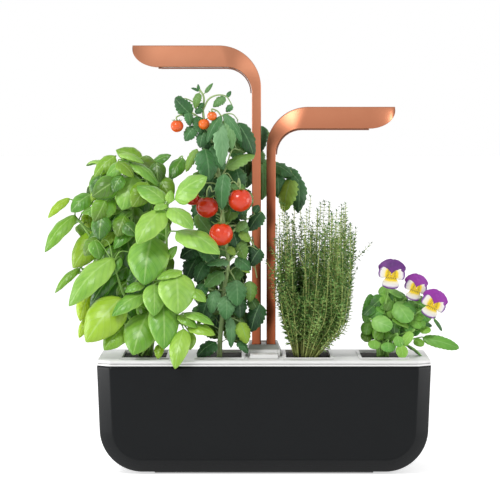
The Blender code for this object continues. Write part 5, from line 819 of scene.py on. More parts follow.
# Basil. Stems: photograph pixel across and down, and depth in pixels, from the root up
BASIL_STEMS = (
    ((156, 320, -26), (166, 262, -48), (166, 216, -60), (168, 204, -64)),
    ((140, 310, -6), (133, 250, -14), (131, 190, -22), (132, 164, -22)),
    ((134, 310, 4), (118, 255, 6), (108, 200, 4), (113, 160, 4)),
    ((132, 318, -12), (112, 276, -14), (90, 236, -8), (75, 216, -8)),
    ((134, 318, -30), (122, 290, -42), (113, 262, -46)),
    ((156, 322, -40), (168, 300, -62), (174, 276, -68)),
    ((140, 330, -36), (128, 316, -52), (121, 300, -58)),
    ((158, 330, -44), (172, 322, -66), (182, 314, -70)),
    ((148, 300, 14), (152, 230, 26), (152, 190, 30), (150, 166, 30)),
    ((136, 312, 22), (112, 270, 40), (94, 232, 46)),
    ((152, 300, 28), (164, 240, 40), (168, 200, 46), (170, 168, 46)),
    ((138, 320, 10), (112, 300, 18), (88, 276, 20), (80, 266, 20)),
    ((146, 318, 34), (140, 250, 56), (134, 210, 60)),
)

# Basil leaves: base and tip pixels, their depths, breadth in pixels, the blade's tilt up from
# facing the viewer in degrees, brightness, and yellowness. Brightness is partly the leaf's own tone and
# partly painted shade and light: deep inner leaves darker, lit outer ones brighter. Yellowness is partly the
# leaf's own yellowing and partly painted light through the blade.
BASIL_LEAVES = (
    (175, 199, 207, 177, -66, -82, 25, 40, 0.80, 0.0),
    (165, 202, 137, 186, -64, -46, 19, 55, 0.60, 0.0),
    (163, 209, 137, 244, -66, -84, 26, 45, 0.80, 0.1),
    (169, 208, 193, 229, -66, -88, 19, 45, 0.85, 0.0),
    (166, 204, 154, 210, -66, -74, 10, 50, 0.85, 0.0),
    (169, 203, 171, 190, -66, -64, 8, 30, 0.75, 0.1),
    (177, 231, 220, 254, -64, -88, 26, 50, 0.85, 0.0),
    (152, 236, 144, 285, -52, -72, 37, 20, 0.60, 0.0),
    (134, 175, 122, 210, -26, -40, 27, 15, 0.75, 0.0),
    (130, 162, 159, 186, -24, -30, 15, 60, 0.60, 0.0),
    (142, 160, 116, 150, -6, -2, 17, 35, 0.45, 0.25),
    (119, 154, 144, 163, -26, -30, 10, 60, 0.80, 0.0),
    (128, 161, 106, 178, -26, -32, 15, 45, 0.65, 0.0),
    (109, 173, 91, 202, -6, -14, 13, 20, 0.35, 0.45),
    (115, 156, 94, 177, -4, -6, 16, 35, 0.45, 0.3),
    (91, 194, 71, 212, -8, -16, 18, 35, 0.45, 0.0),
    (69, 198, 48, 218, -8, -12, 10, 45, 0.40, 0.6),
    (75, 215, 45, 252, -8, -18, 17, 50, 0.50, 0.15),
    (122, 209, 81, 213, -18, -26, 18, 55, 0.55, 0.1),
    (88, 212, 90, 228, 4, 2, 14, 20, 0.30, 0.6),
    (132, 211, 111, 225, -22, -34, 10, 50, 0.55, 0.0),
    (109, 219, 98, 244, -16, -24, 14, 30, 0.45, 0.0),
    (115, 232, 101, 248, -25, -34, 11, 40, 0.65, 0.35),
    (99, 233, 73, 268, -4, -8, 24, 15, 0.35, 0.5),
    (113, 258, 69, 306, -46, -58, 27, 45, 0.70, 0.1),
    (80, 268, 55, 293, 6, 2, 9, 40, 0.45, 0.2),
    (134, 225, 114, 249, -26, -40, 15, 40, 0.50, 0.0),
    (116, 271, 90, 308, -40, -44, 14, 25, 0.12, 0.0),
    (90, 292, 80, 321, -28, -34, 16, 10, 0.55, 0.9),
    (89, 317, 79, 338, -26, -32, 9, 10, 0.6, 0.8),
    (121, 298, 86, 342, -58, -66, 34, 20, 0.70, 0.55),
    (144, 294, 112, 316, -62, -76, 18, 45, 0.60, 0.0),
    (144, 283, 125, 292, -60, -66, 13, 55, 0.60, 0.0),
    (125, 327, 104, 350, -54, -64, 20, 30, 0.50, 0.25),
    (154, 284, 154, 316, -68, -84, 20, 35, 0.70, 0.0),
    (176, 272, 178, 314, -70, -88, 33, 30, 0.85, 0.05),
    (182, 271, 157, 279, -70, -76, 14, 60, 0.75, 0.1),
    (190, 289, 206, 302, -72, -80, 13, 50, 0.75, 0.1),
    (184, 313, 214, 325, -72, -84, 13, 60, 0.65, 0.0),
    (178, 315, 197, 328, -74, -82, 12, 50, 0.60, 0.1),
    (188, 326, 215, 335, -72, -84, 15, 50, 0.70, 0.35),
    (163, 302, 164, 349, -66, -86, 27, 30, 0.60, 0.0),
    (148, 313, 133, 355, -56, -76, 32, 30, 0.55, 0.1),
    (184, 329, 175, 369, -76, -95, 18, 35, 0.85, 0.25),
    (190, 332, 190, 350, -66, -72, 11, 20, 0.45, 0.3),
    (160, 344, 158, 359, -62, -68, 9, 20, 0.5, 0.5),
    (120, 257, 110, 277, -40, -44, 11, 30, 0.35, 0.0),
    (126, 276, 96, 304, -26, -30, 22, 25, 0.10, 0.0),
    (167, 259, 177, 246, -58, -60, 8, 35, 0.45, 0.1),
    (166, 261, 157, 249, -58, -56, 9, 35, 0.55, 0.2),
    (150, 167, 171, 155, 22, 10, 13, 40, 0.40, 0.0),
    (183, 158, 171, 179, 20, 6, 15, 25, 0.40, 0.0),
    (173, 181, 162, 187, 4, -4, 9, 45, 0.55, 0.0),
    (146, 216, 150, 262, -10, -18, 26, 25, 0.12, 0.0),
    (126, 232, 132, 276, -18, -26, 24, 25, 0.10, 0.0),
    (148, 188, 130, 224, 0, -6, 24, 25, 0.15, 0.0),
    (164, 292, 146, 330, -36, -40, 26, 20, 0.12, 0.0),
    (134, 296, 112, 326, -30, -34, 22, 20, 0.15, 0.0),
    (112, 206, 102, 236, -2, -6, 22, 20, 0.20, 0.0),
    (150, 262, 128, 296, -34, -36, 24, 20, 0.12, 0.0),
)
BASIL_BACK_STEMS = (2, 3, 8, 9, 10, 11, 12)
BASIL_BACK_LEAVES = 40
BASIL_OUTLINE = [(96, 176), (112, 160), (144, 156), (170, 168), (180, 184), (178, 232), (180, 262),
                 (182, 300),
                 (180, 336), (160, 346), (120, 340), (100, 322), (92, 290), (84, 262), (82, 226)]
BASIL_STEM_RADIUS = 0.0016
BASIL_STALK_RADIUS = 0.8 * MM
BASIL_FOOT_RADIUS = 0.006
BASIL_BREADTH_SHARE = 1.22
BASIL_SWAY = 0.12
BASIL_FILL_BREADTH_SHARE = 0.72
BASIL_FILL_LENGTHS = (22, 34)
BASIL_RIGHT_X = -0.0945
BASIL_BACK_RIGHT_X = -0.098
BESIDE_TOMATO_X = -0.096
BESIDE_TOMATO_Y = -0.031
BESIDE_TOMATO_Z = 0.239

# Leaves that fill the basil: how many, their depths in pixels, and their brightness, which is lower for the
# deeper group as painted shade
BASIL_FILLS = ((24, (-40, -26), (0.1, 0.4)), (90, (-20, 22), (0.0, 0.35)))


def nearest_on(paths, place):
    """The point on the paths that is nearest to a place, favouring those below it."""
    best, least = None, 1e9
    for path in paths:
        for a, b in zip(path, path[1:]):
            step = b - a
            share = max(0.0, min(1.0, (place - a).dot(step) / step.length_squared))
            spot = a + step * share
            away = (place - spot).length + max(0.0, spot.z - place.z) * 2
            if away < least:
                best, least = spot, away
    return best


def add_stalk(shape, paths, base, ahead, radius):
    """A leaf stalk from the nearest stem to a blade's base, arriving in line with the blade."""
    start = nearest_on(paths, base)
    gap = (base - start).length
    if gap < radius:
        return
    bend = base - ahead * gap * 0.4
    path = smooth_path([start, start.lerp(bend, 0.6), base + ahead * radius], 4)
    add_tube(shape, path, [radius] * len(path), STALK_SIDES)


def point_on(path, share):
    """The point at a share of a path's steps."""
    spot = share * (len(path) - 1)
    index = min(int(spot), len(path) - 2)
    return path[index].lerp(path[index + 1], spot - index)


def spread_shares(index):
    """Three shares from 0 to 1 that stay evenly spread as the index grows."""
    return [(index * step) % 1 for step in SPREAD_STEPS]


def inside(px, py, outline):
    """Whether a pixel lies inside an outline of pixels."""
    within = False
    for (ax, ay), (bx, by) in zip(outline, outline[1:] + outline[:1]):
        if (ay > py) != (by > py) and px < (bx - ax) * (py - ay) / (by - ay) + ax:
            within = not within
    return within


def add_seen_leaves(leaves, rows, breadth_share, form, sway, mirrored, stalk):
    """The leaves of a table. Their blades sway sideways, and stalk(base, ahead) adds the stalk of each."""
    for bx, by, tx, ty, base_depth, tip_depth, breadth, tilt, bright, yellow in rows:
        base, tip = seen_at(bx, by, base_depth * PIXEL), seen_at(tx, ty, tip_depth * PIXEL)
        face = tilted_face(tilt, math.copysign(sway, tx - bx) if mirrored else sway)
        add_leaf(leaves, base, tip, breadth * PIXEL * breadth_share, face, form, (bright, yellow), phase=bx)
        stalk(base, (tip - base).normalized())


def fill_leaves(leaves, stems, paths, chance, outline, count, depths, lengths, share, form, tones, allowed):
    """Leaves that fill a plant's body behind those of its table, inside an outline in the photograph."""
    xs, ys = [x for x, _ in outline], [y for _, y in outline]
    middle = (min(xs) + max(xs)) / 2
    made = tries = 0
    while made < count and tries < count * 60:
        tries += 1
        px, py = chance.uniform(min(xs), max(xs)), chance.uniform(min(ys), max(ys))
        way = 90 + (middle - px) * 0.9 + chance.uniform(-55, 55)
        length = chance.uniform(*lengths)
        tip_px = px + math.cos(math.radians(way)) * length
        tip_py = py + math.sin(math.radians(way)) * length * 0.8
        depth = chance.uniform(*depths)
        tip_depth = depth - chance.uniform(2, 8)
        tilt, bright, yellow = chance.uniform(0, 50), chance.uniform(*tones), chance.uniform(0, 0.3)
        if not inside(px, py, outline) or not inside(tip_px, tip_py, outline):
            continue
        base, tip = seen_at(px, py, depth * PIXEL), seen_at(tip_px, tip_py, tip_depth * PIXEL)
        if not allowed(base) or not allowed(tip):
            continue
        made += 1
        face = tilted_face(tilt, chance.uniform(-0.4, 0.4))
        add_leaf(leaves, base, tip, length * PIXEL * share, face, form, (bright, yellow), phase=px)
        add_stalk(stems, paths, base, (tip - base).normalized(), FILL_STALK_RADIUS)


def is_clear_of_lamps(p):
    """Whether a place is before or behind the masts and heads, or beside the one and below the other."""
    head_z = LEFT_HEAD_Z if p.x < 0 else RIGHT_HEAD_Z
    return not MASTS_Y[0] < p.y < MASTS_Y[1] or (abs(p.x) > MASTS_X and p.z < head_z)


def tilted_face(tilt, sway=0.0):
    """Which way a blade looks: tilt in degrees up from the viewer."""
    return Vector((sway, -math.cos(math.radians(tilt)), math.sin(math.radians(tilt))))


def root_of(pod):
    """Where a plant leaves its plug."""
    low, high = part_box(f"grow_plug_{pod}")
    return Vector(((low.x + high.x) / 2, 0, high.z))


def make_basil():
    chance = random.Random(7)
    root = root_of("basil")
    stems, leaves = Shape(), Shape()
    paths = []
    for index, places in enumerate(BASIL_STEMS):
        turn = index * GOLDEN_ANGLE
        foot = root + Vector((math.cos(turn), math.sin(turn), 0)) * BASIL_FOOT_RADIUS
        path = smooth_path([foot] + [seen_at(px, py, depth * PIXEL) for px, py, depth in places], 6)
        paths.append(path)
        radii = [BASIL_STEM_RADIUS * (1.15 - 0.55 * i / len(path)) for i in range(len(path))]
        add_tube(stems, path, radii, 8)

    def stalk(base, ahead):
        add_stalk(stems, paths, base, ahead, BASIL_STALK_RADIUS)

    add_seen_leaves(leaves, BASIL_LEAVES, BASIL_BREADTH_SHARE, BASIL_FORM, BASIL_SWAY, True, stalk)
    for index in range(BASIL_BACK_LEAVES):
        high, turn, size = spread_shares(index)
        path = paths[BASIL_BACK_STEMS[index % len(BASIL_BACK_STEMS)]]
        azimuth = 15 + 150 * turn
        length = (25.5 + 17 * size) * MM
        start = point_on(path, 0.42 + 0.58 * high)
        base = start + heading(azimuth, 20) * 10 * MM
        tip = base + heading(azimuth, 10 - 45 * size) * length
        if tip.y > PLANT_BACK_Y or tip.y < 0 or max(tip.x, base.x) > BASIL_BACK_RIGHT_X:
            continue
        face = Vector((0, 0, 1)) + heading(azimuth, 0) * 0.5
        # Painted light: back leaves higher up are brighter.
        tone = (0.35 + 0.4 * high, 0.2 * size)
        add_leaf(leaves, base, tip, length * BACK_BREADTH_SHARE, face, BASIL_FORM, tone, phase=index)
        add_tube(stems, [start, base], [BASIL_STALK_RADIUS] * 2, STALK_SIDES)

    def allowed(p):
        beside_tomato = p.x > BESIDE_TOMATO_X and p.y > BESIDE_TOMATO_Y and p.z > BESIDE_TOMATO_Z
        return p.x < BASIL_RIGHT_X and not beside_tomato and is_clear_of_lamps(p)

    for count, depths, tones in BASIL_FILLS:
        fill_leaves(leaves, stems, paths, chance, BASIL_OUTLINE, count, depths, BASIL_FILL_LENGTHS,
                    BASIL_FILL_BREADTH_SHARE, BASIL_FORM, tones, allowed)
    stems.make("basil_stems", BASIL_STEM, "pod_basil", "basil_leaf")
    leaves.make("basil_leaves", FINISHES["basil_leaf"], "pod_basil", "basil_leaf", ["basil_plant"])


# Tomato. The main stem and its branches, as pixels and depths in pixels
TOMATO_TRUNK = ((220, 340, -30), (222, 318, -32), (224, 290, -34), (228, 266, -34), (226, 240, -32),
                (222, 210, -32), (220, 180, -34), (214, 150, -36), (205, 124, -38), (203, 110, -38),
                (204, 98, -38), (200, 90, -38), (197, 86, -38))
TOMATO_BRANCHES = (
    ((203, 110, -38), (208, 100, -40), (214, 96, -42), (221, 95, -42), (227, 97, -42), (232, 105, -44)),
    ((205, 122, -38), (197, 116, -40), (191, 112, -42), (187, 111, -43)),
    ((203, 112, -38), (196, 104, -38), (187, 99, -38), (182, 99, -38)),
    ((214, 150, -36), (217, 128, -46), (222, 116, -48), (232, 114, -44), (238, 120, -40)),
    ((220, 180, -34), (226, 168, -40), (232, 150, -40), (240, 150, -36)),
    ((220, 180, -34), (208, 160, -40), (200, 152, -42), (190, 153, -40)),
    ((222, 200, -32), (218, 190, -50), (212, 192, -54)),
    ((222, 200, -32), (232, 182, -46), (240, 188, -52)),
    ((226, 240, -32), (236, 228, -34), (246, 220, -28), (256, 214, -26)),
    ((228, 262, -34), (240, 250, -34), (250, 246, -28), (258, 250, -26)),
    ((228, 268, -34), (233, 276, -40), (236, 282, -42)),
    ((228, 266, -34), (216, 262, -34), (206, 262, -34)),
    ((224, 290, -34), (212, 290, -40), (206, 284, -40)),
    ((224, 290, -34), (240, 292, -30), (252, 298, -26), (258, 304, -25)),
    ((222, 318, -32), (232, 318, -36), (240, 322, -36)),
    ((222, 210, -32), (222, 190, -2), (236, 170, 40), (262, 160, 50), (285, 166, 52), (296, 178, 50)),
    ((226, 240, -32), (222, 226, -2), (238, 214, 42), (258, 200, 50)),
    ((224, 250, -32), (206, 246, -20), (194, 250, -14)),
    ((243, 223, -32), (250, 238, -28), (255, 250, -25), (255, 266, -25), (257, 278, -25)),
)

# Tomato leaflets: as the basil's leaves
TOMATO_LEAVES = (
    (191, 115, 175, 98, -42, -44, 15, 10, 0.30, 0.0),
    (199, 93, 195, 109, -38, -42, 8, 20, 0.55, 0.25),
    (225, 97, 213, 107, -42, -44, 9, 20, 0.55, 0.1),
    (205, 93, 213, 83, -38, -38, 4, 20, 0.60, 0.1),
    (199, 91, 191, 88, -38, -38, 3, 40, 0.25, 0.0),
    (199, 91, 198, 84, -38, -38, 3, 20, 0.40, 0.0),
    (183, 99, 175, 98, -38, -38, 6, 30, 0.45, 0.0),
    (227, 97, 231, 91, -42, -40, 4, 20, 0.35, 0.0),
    (232, 105, 226, 112, -44, -44, 7, 30, 0.50, 0.0),
    (198, 108, 204, 103, -40, -40, 5, 30, 0.35, 0.0),
    (201, 108, 196, 114, -40, -44, 8, 30, 0.30, 0.0),
    (195, 126, 185, 141, -42, -44, 13, 20, 0.40, 0.0),
    (188, 112, 190, 126, -43, -46, 9, 30, 0.45, 0.0),
    (197, 116, 201, 134, -40, -46, 12, 25, 0.30, 0.0),
    (205, 130, 200, 148, -42, -46, 13, 25, 0.30, 0.0),
    (219, 120, 222, 167, -50, -56, 15, 10, 0.85, 0.0),
    (221, 116, 207, 143, -50, -54, 10, 30, 0.35, 0.0),
    (224, 114, 242, 142, -48, -46, 10, 25, 0.55, 0.0),
    (228, 115, 232, 150, -46, -50, 12, 20, 0.75, 0.1),
    (238, 123, 254, 157, -34, -28, 17, 15, 0.15, 0.0),
    (226, 168, 255, 155, -42, -30, 14, 50, 0.65, 0.35),
    (205, 149, 209, 181, -46, -52, 22, 15, 0.35, 0.0),
    (197, 149, 186, 172, -42, -44, 9, 20, 0.55, 0.4),
    (212, 146, 224, 170, -40, -48, 14, 20, 0.40, 0.0),
    (224, 174, 222, 210, -56, -64, 15, 10, 0.45, 0.0),
    (245, 158, 247, 188, 44, 40, 20, 10, 0.35, 0.0),
    (261, 158, 262, 200, 48, 44, 22, 10, 0.35, 0.1),
    (262, 126, 261, 152, 46, 44, 13, 15, 0.15, 0.0),
    (263, 130, 269, 139, 46, 44, 9, 30, 0.60, 0.4),
    (259, 150, 262, 164, 46, 44, 10, 20, 0.30, 0.1),
    (272, 164, 292, 176, 50, 46, 15, 35, 0.40, 0.0),
    (276, 168, 278, 198, 52, 48, 17, 15, 0.35, 0.0),
    (291, 178, 284, 212, 50, 46, 19, 10, 0.55, 0.55),
    (298, 178, 298, 213, 52, 50, 17, 10, 0.20, 0.0),
    (285, 168, 302, 186, 54, 52, 14, 20, 0.35, 0.0),
    (262, 212, 249, 231, -26, -28, 15, 20, 0.08, 0.0),
    (254, 213, 259, 205, -26, -26, 8, 20, 0.15, 0.0),
    (260, 249, 250, 266, -26, -28, 15, 15, 0.05, 0.0),
    (250, 246, 258, 256, -26, -26, 10, 15, 0.10, 0.0),
    (260, 304, 251, 332, -26, -30, 18, 15, 0.05, 0.0),
    (250, 298, 258, 312, -26, -26, 12, 15, 0.10, 0.1),
    (236, 280, 237, 306, -44, -50, 20, 15, 0.55, 0.0),
    (216, 290, 211, 314, -42, -48, 13, 20, 0.62, 0.0),
    (226, 296, 226, 320, -46, -52, 17, 15, 0.55, 0.0),
    (223, 272, 205, 287, -40, -46, 16, 35, 0.48, 0.1),
    (229, 262, 207, 265, -38, -44, 10, 45, 0.60, 0.0),
    (198, 256, 186, 280, -16, -18, 20, 15, 0.10, 0.0),
    (200, 246, 180, 258, -16, -18, 17, 20, 0.05, 0.0),
    (202, 248, 218, 264, -34, -38, 15, 25, 0.20, 0.0),
    (228, 247, 235, 255, -36, -38, 8, 20, 0.75, 0.6),
    (246, 221, 236, 232, -34, -38, 10, 30, 0.60, 0.2),
    (240, 232, 250, 242, -34, -36, 9, 30, 0.55, 0.5),
    (236, 258, 251, 270, -34, -36, 14, 30, 0.45, 0.0),
    (241, 267, 250, 273, -34, -36, 6, 30, 0.60, 0.6),
    (250, 281, 250, 302, -30, -34, 14, 20, 0.55, 0.3),
    (240, 322, 247, 344, -38, -42, 14, 15, 0.65, 0.7),
    (230, 317, 231, 348, -38, -42, 10, 15, 0.65, 0.0),
    (216, 342, 197, 357, -36, -42, 16, 35, 0.15, 0.0),
    (238, 341, 248, 353, -34, -38, 9, 35, 0.35, 0.0),
    (206, 262, 196, 282, -30, -34, 15, 25, 0.15, 0.0),
    (204, 284, 196, 300, -36, -38, 14, 25, 0.20, 0.0),
    (208, 300, 202, 322, -36, -40, 16, 25, 0.12, 0.0),
    (238, 296, 240, 318, -32, -36, 16, 25, 0.20, 0.0),
    (230, 226, 238, 250, -28, -30, 17, 20, 0.20, 0.0),
    (206, 226, 200, 248, -26, -28, 17, 20, 0.10, 0.0),
    (214, 210, 206, 232, -24, -26, 18, 20, 0.12, 0.0),
    (236, 196, 242, 220, -26, -28, 18, 20, 0.15, 0.0),
    (200, 176, 194, 200, -26, -30, 18, 20, 0.15, 0.0),
    (214, 178, 208, 200, -26, -30, 18, 20, 0.12, 0.0),
    (236, 168, 240, 192, -28, -30, 18, 20, 0.22, 0.0),
    (206, 132, 212, 158, -34, -36, 16, 20, 0.25, 0.0),
    (200, 262, 206, 290, 10, 12, 20, 20, 0.15, 0.0),
    (236, 262, 240, 290, 2, 4, 18, 20, 0.15, 0.0),
    (222, 300, 216, 330, -14, -12, 20, 20, 0.12, 0.0),
    (238, 318, 244, 344, -22, -22, 14, 20, 0.15, 0.0),
    (200, 200, 204, 232, 16, 18, 20, 20, 0.20, 0.0),
    (240, 228, 244, 258, 10, 12, 16, 20, 0.15, 0.0),
)

# Tomatoes: centre, radius in pixels, depth in pixels, ripeness
TOMATO_FRUITS = (
    (177, 126, 6.4, -44, 0.25),
    (204, 124, 5.6, -46, 0.05),
    (212, 116, 4.8, -50, 0.0),
    (207, 207, 11.0, -54, 0.75),
    (240, 200, 11.8, -56, 0.55),
    (221, 234, 11.8, -57, 0.50),
    (192, 198, 7.6, -34, 0.85),
)
TOMATO_BACK_STEMS = (0, 0, 16, 17)
TOMATO_BACK_LEAVES = 26
TOMATO_OUTLINE = [(188, 106), (214, 112), (232, 120), (246, 138), (250, 168), (250, 208), (248, 240),
                  (248, 308), (246, 342), (226, 346), (196, 346), (192, 322), (190, 290), (190, 236),
                  (190, 200), (190, 160)]
TOMATO_ROOT_Y = -0.030
TOMATO_TRUNK_RADIUS = 2.9 * MM
TOMATO_STALK_RADIUS = 0.5 * MM
TOMATO_BACK_STALK_RADIUS = 0.6 * MM
TRUSS_RADIUS = 0.8 * MM
TOMATO_BREADTH_SHARE = 1.15
TOMATO_SWAY = 0.25
TOMATO_FILL_BREADTH_SHARE = 0.66
TOMATO_FILL_LENGTHS = (16, 28)
TOMATO_X = (-0.0710, -0.0045)
TOMATO_BACK_X = (-0.072, -0.012)
TOMATO_BACK_FRONT_Y = -0.020
TOMATO_BACK_TOP_Z = 0.330
# Filling leaves: how many, depths in pixels and brightness; the deeper group is darker, as painted shade.
TOMATO_FILLS = ((60, (-30, -20), (0.15, 0.6)), (70, (-14, 20), (0.0, 0.4)))
FRUIT_RINGS = 20
FRUIT_SIDES = 28
SEPALS = 5


def add_fruit(shape, sepals, stems, centre, radius, ripe, hang):
    """A tomato with a slight dent at its stalk, five curled sepals and a stalk up to its truss."""
    rings, sides = FRUIT_RINGS, FRUIT_SIDES
    rows = []
    for ring in range(1, rings):
        polar = math.pi * ring / rings
        flare = 1 - 0.10 * math.exp(-(polar / 0.42) ** 2)
        line = []
        for side in range(sides):
            turn = 2 * math.pi * side / sides
            lobes = 1 + 0.012 * math.cos(5 * turn) * math.sin(polar)
            spot = Vector((math.cos(turn) * math.sin(polar) * lobes, math.sin(turn) * math.sin(polar) * lobes,
                           math.cos(polar) * flare * 0.97))
            line.append(shape.point(centre + spot * radius, (0.5, 0.5), (ripe, 0.0)))
        rows.append(line)
    north = shape.point(centre + Vector((0, 0, radius * 0.86)), (0.5, 0.5), (ripe, 0.0))
    south = shape.point(centre - Vector((0, 0, radius * 0.97)), (0.5, 0.5), (ripe, 0.0))
    for a, b in zip(rows, rows[1:]):
        for side in range(sides):
            after = (side + 1) % sides
            shape.faces.append((a[side], b[side], b[after], a[after]))
    for side in range(sides):
        after = (side + 1) % sides
        shape.faces.append((north, rows[0][side], rows[0][after]))
        shape.faces.append((south, rows[-1][after], rows[-1][side]))
    crown = centre + Vector((0, 0, radius * 0.88))
    for number in range(SEPALS):
        turn = 2 * math.pi * number / SEPALS + ripe * 9
        out = Vector((math.cos(turn), math.sin(turn), 0))
        tip = crown + out * radius * 0.85 + Vector((0, 0, radius * (0.18 - 0.1 * (number % 2))))
        add_leaf(sepals, crown, tip, radius * 0.26, Vector((0, 0, 1)), SEPAL_FORM, (0.5, 0.2))
    path = smooth_path([crown, crown + Vector((0, 0, radius * 0.55)),
                        crown.lerp(hang, 0.6) + Vector((0, 0, radius * 0.7)), hang], 5)
    add_tube(stems, path, [TRUSS_RADIUS] * len(path), 6)


def make_tomato():
    chance = random.Random(11)
    root = root_of("tomato") + Vector((0, TOMATO_ROOT_Y, 0))
    stems, leaves, fruits, sepals = Shape(), Shape(), Shape(), Shape()
    trunk = smooth_path([root] + [seen_at(px, py, depth * PIXEL) for px, py, depth in TOMATO_TRUNK], 5)
    radii = [TOMATO_TRUNK_RADIUS * (1 - 0.74 * (i / len(trunk)) ** 0.8) for i in range(len(trunk))]
    add_tube(stems, trunk, radii, 10)
    paths = [trunk]
    for places in TOMATO_BRANCHES:
        path = smooth_path([seen_at(px, py, depth * PIXEL) for px, py, depth in places], 6)
        path[0] = nearest_on([trunk], path[0])
        add_tube(stems, path, [(1.1 - 0.6 * i / len(path)) * MM for i in range(len(path))], 6)
        paths.append(path)

    def stalk(base, ahead):
        add_stalk(stems, paths, base, ahead, TOMATO_STALK_RADIUS)

    add_seen_leaves(leaves, TOMATO_LEAVES, TOMATO_BREADTH_SHARE, TOMATO_FORM, TOMATO_SWAY, True, stalk)
    for index in range(TOMATO_BACK_LEAVES):
        high, turn, size = spread_shares(index)
        path = paths[TOMATO_BACK_STEMS[index % len(TOMATO_BACK_STEMS)]]
        azimuth = 40 + 100 * turn
        length = (20 + 13.5 * size) * MM
        start = point_on(path, 0.25 + 0.47 * high)
        base = start + heading(azimuth, 15) * 26 * MM * (0.55 + size)
        tip = base + heading(azimuth + 100 * high - 50, 5 - 65 * size) * length
        left, right = sorted((base.x, tip.x))
        front, back = sorted((base.y, tip.y))
        if right > TOMATO_BACK_X[1] or left < TOMATO_BACK_X[0] or tip.z > TOMATO_BACK_TOP_Z:
            continue
        if back > PLANT_BACK_Y or front < TOMATO_BACK_FRONT_Y:
            continue
        tone = (0.2 + 0.3 * size, 0.05)
        add_leaf(leaves, base, tip, length * BACK_BREADTH_SHARE, Vector((0, 0.8, 0.6)), TOMATO_FORM, tone,
                 phase=index)
        way = smooth_path([start, start.lerp(base, 0.5) + Vector((0, 0, 4 * MM)), base], 4)
        add_tube(stems, way, [TOMATO_BACK_STALK_RADIUS] * len(way), STALK_SIDES)

    def allowed(p):
        in_flap = abs(p.x) < FLAP_X and p.z < FLAP_Z
        return TOMATO_X[0] < p.x < TOMATO_X[1] and not in_flap and is_clear_of_lamps(p)

    for count, depths, tones in TOMATO_FILLS:
        fill_leaves(leaves, stems, paths, chance, TOMATO_OUTLINE, count, depths, TOMATO_FILL_LENGTHS,
                    TOMATO_FILL_BREADTH_SHARE, TOMATO_FORM, tones, allowed)
    for px, py, radius, depth, ripe in TOMATO_FRUITS:
        centre = seen_at(px, py, depth * PIXEL)
        above = centre + Vector((0, 0, radius * PIXEL * 1.6))
        add_fruit(fruits, sepals, stems, centre, radius * PIXEL, ripe, nearest_on(paths, above))
    stems.make("tomato_stems", TOMATO_STEM, "pod_tomato", "tomato_leaf")
    sepals.make("tomato_sepals", SEPAL, "pod_tomato", "tomato_leaf")
    fruits.make("tomato_fruits", FINISHES["tomato_fruit"], "pod_tomato", "tomato_fruit")
    leaves.make("tomato_leaves", FINISHES["tomato_leaf"], "pod_tomato", "tomato_leaf", ["tomato_plant"])


# Thyme
THYME_STEMS = 150
THYME_SIDE_SHARE = 0.8
THYME_CROWN_WIDTH = 0.036
THYME_CROWN_DEPTH = 0.080
THYME_HEIGHT = 0.166
THYME_EDGE_DROP = 0.034
THYME_SPREAD_X = 0.066
THYME_SPREAD_Y = 0.052
THYME_LEAN_X = 0.017
THYME_BACK_Y = 0.036
THYME_TOP_BACK_Y = 0.032
BESIDE_MAST_X = 0.0195
BESIDE_MAST_Y = -0.0135
BESIDE_MAST_TOP_X = 0.026
BESIDE_MAST_BASE_Y = -0.012
BESIDE_VIOLA_X = 0.091
BESIDE_VIOLA_Y = 0.001
BESIDE_VIOLA_Z = 0.184
SMALL_LEAF_BREADTH_SHARE = 0.46


def add_small_leaf(shape, base, ahead, face, length, width, tone):
    """A thyme leaf: a slim pointed body with eight faces."""
    side = ahead.cross(face)
    if side.length < 0.1:
        side = ahead.orthogonal()
    side.normalize()
    normal = side.cross(ahead).normalized()
    middle = base + ahead * length * 0.5
    tip = base + ahead * length - normal * length * 0.12
    foot, end = shape.point(base, (0, 0.5), tone), shape.point(tip, (1, 0.5), tone)
    left = shape.point(middle + side * width / 2, (0.5, 0.0), tone)
    right = shape.point(middle - side * width / 2, (0.5, 1.0), tone)
    over = shape.point(middle + normal * width * 0.14, (0.5, 0.5), tone)
    under = shape.point(middle - normal * width * 0.14, (0.5, 0.5), tone)
    shape.faces += [(foot, left, over), (foot, over, right), (end, over, left), (end, right, over),
                    (foot, under, left), (foot, right, under), (end, left, under), (end, under, right)]


def thyme_room(p):
    """Whether a place is clear of the viola's lift, the masts, the flap and the tomato."""
    if p.x > BESIDE_VIOLA_X and (p.y < BESIDE_VIOLA_Y or p.z < BESIDE_VIOLA_Z):
        return False
    if p.x < BESIDE_MAST_X and p.y > BESIDE_MAST_Y:
        return False
    return p.x > 0 and p.y < THYME_BACK_Y and (p.z > FLAP_Z or p.x > BESIDE_MAST_X)


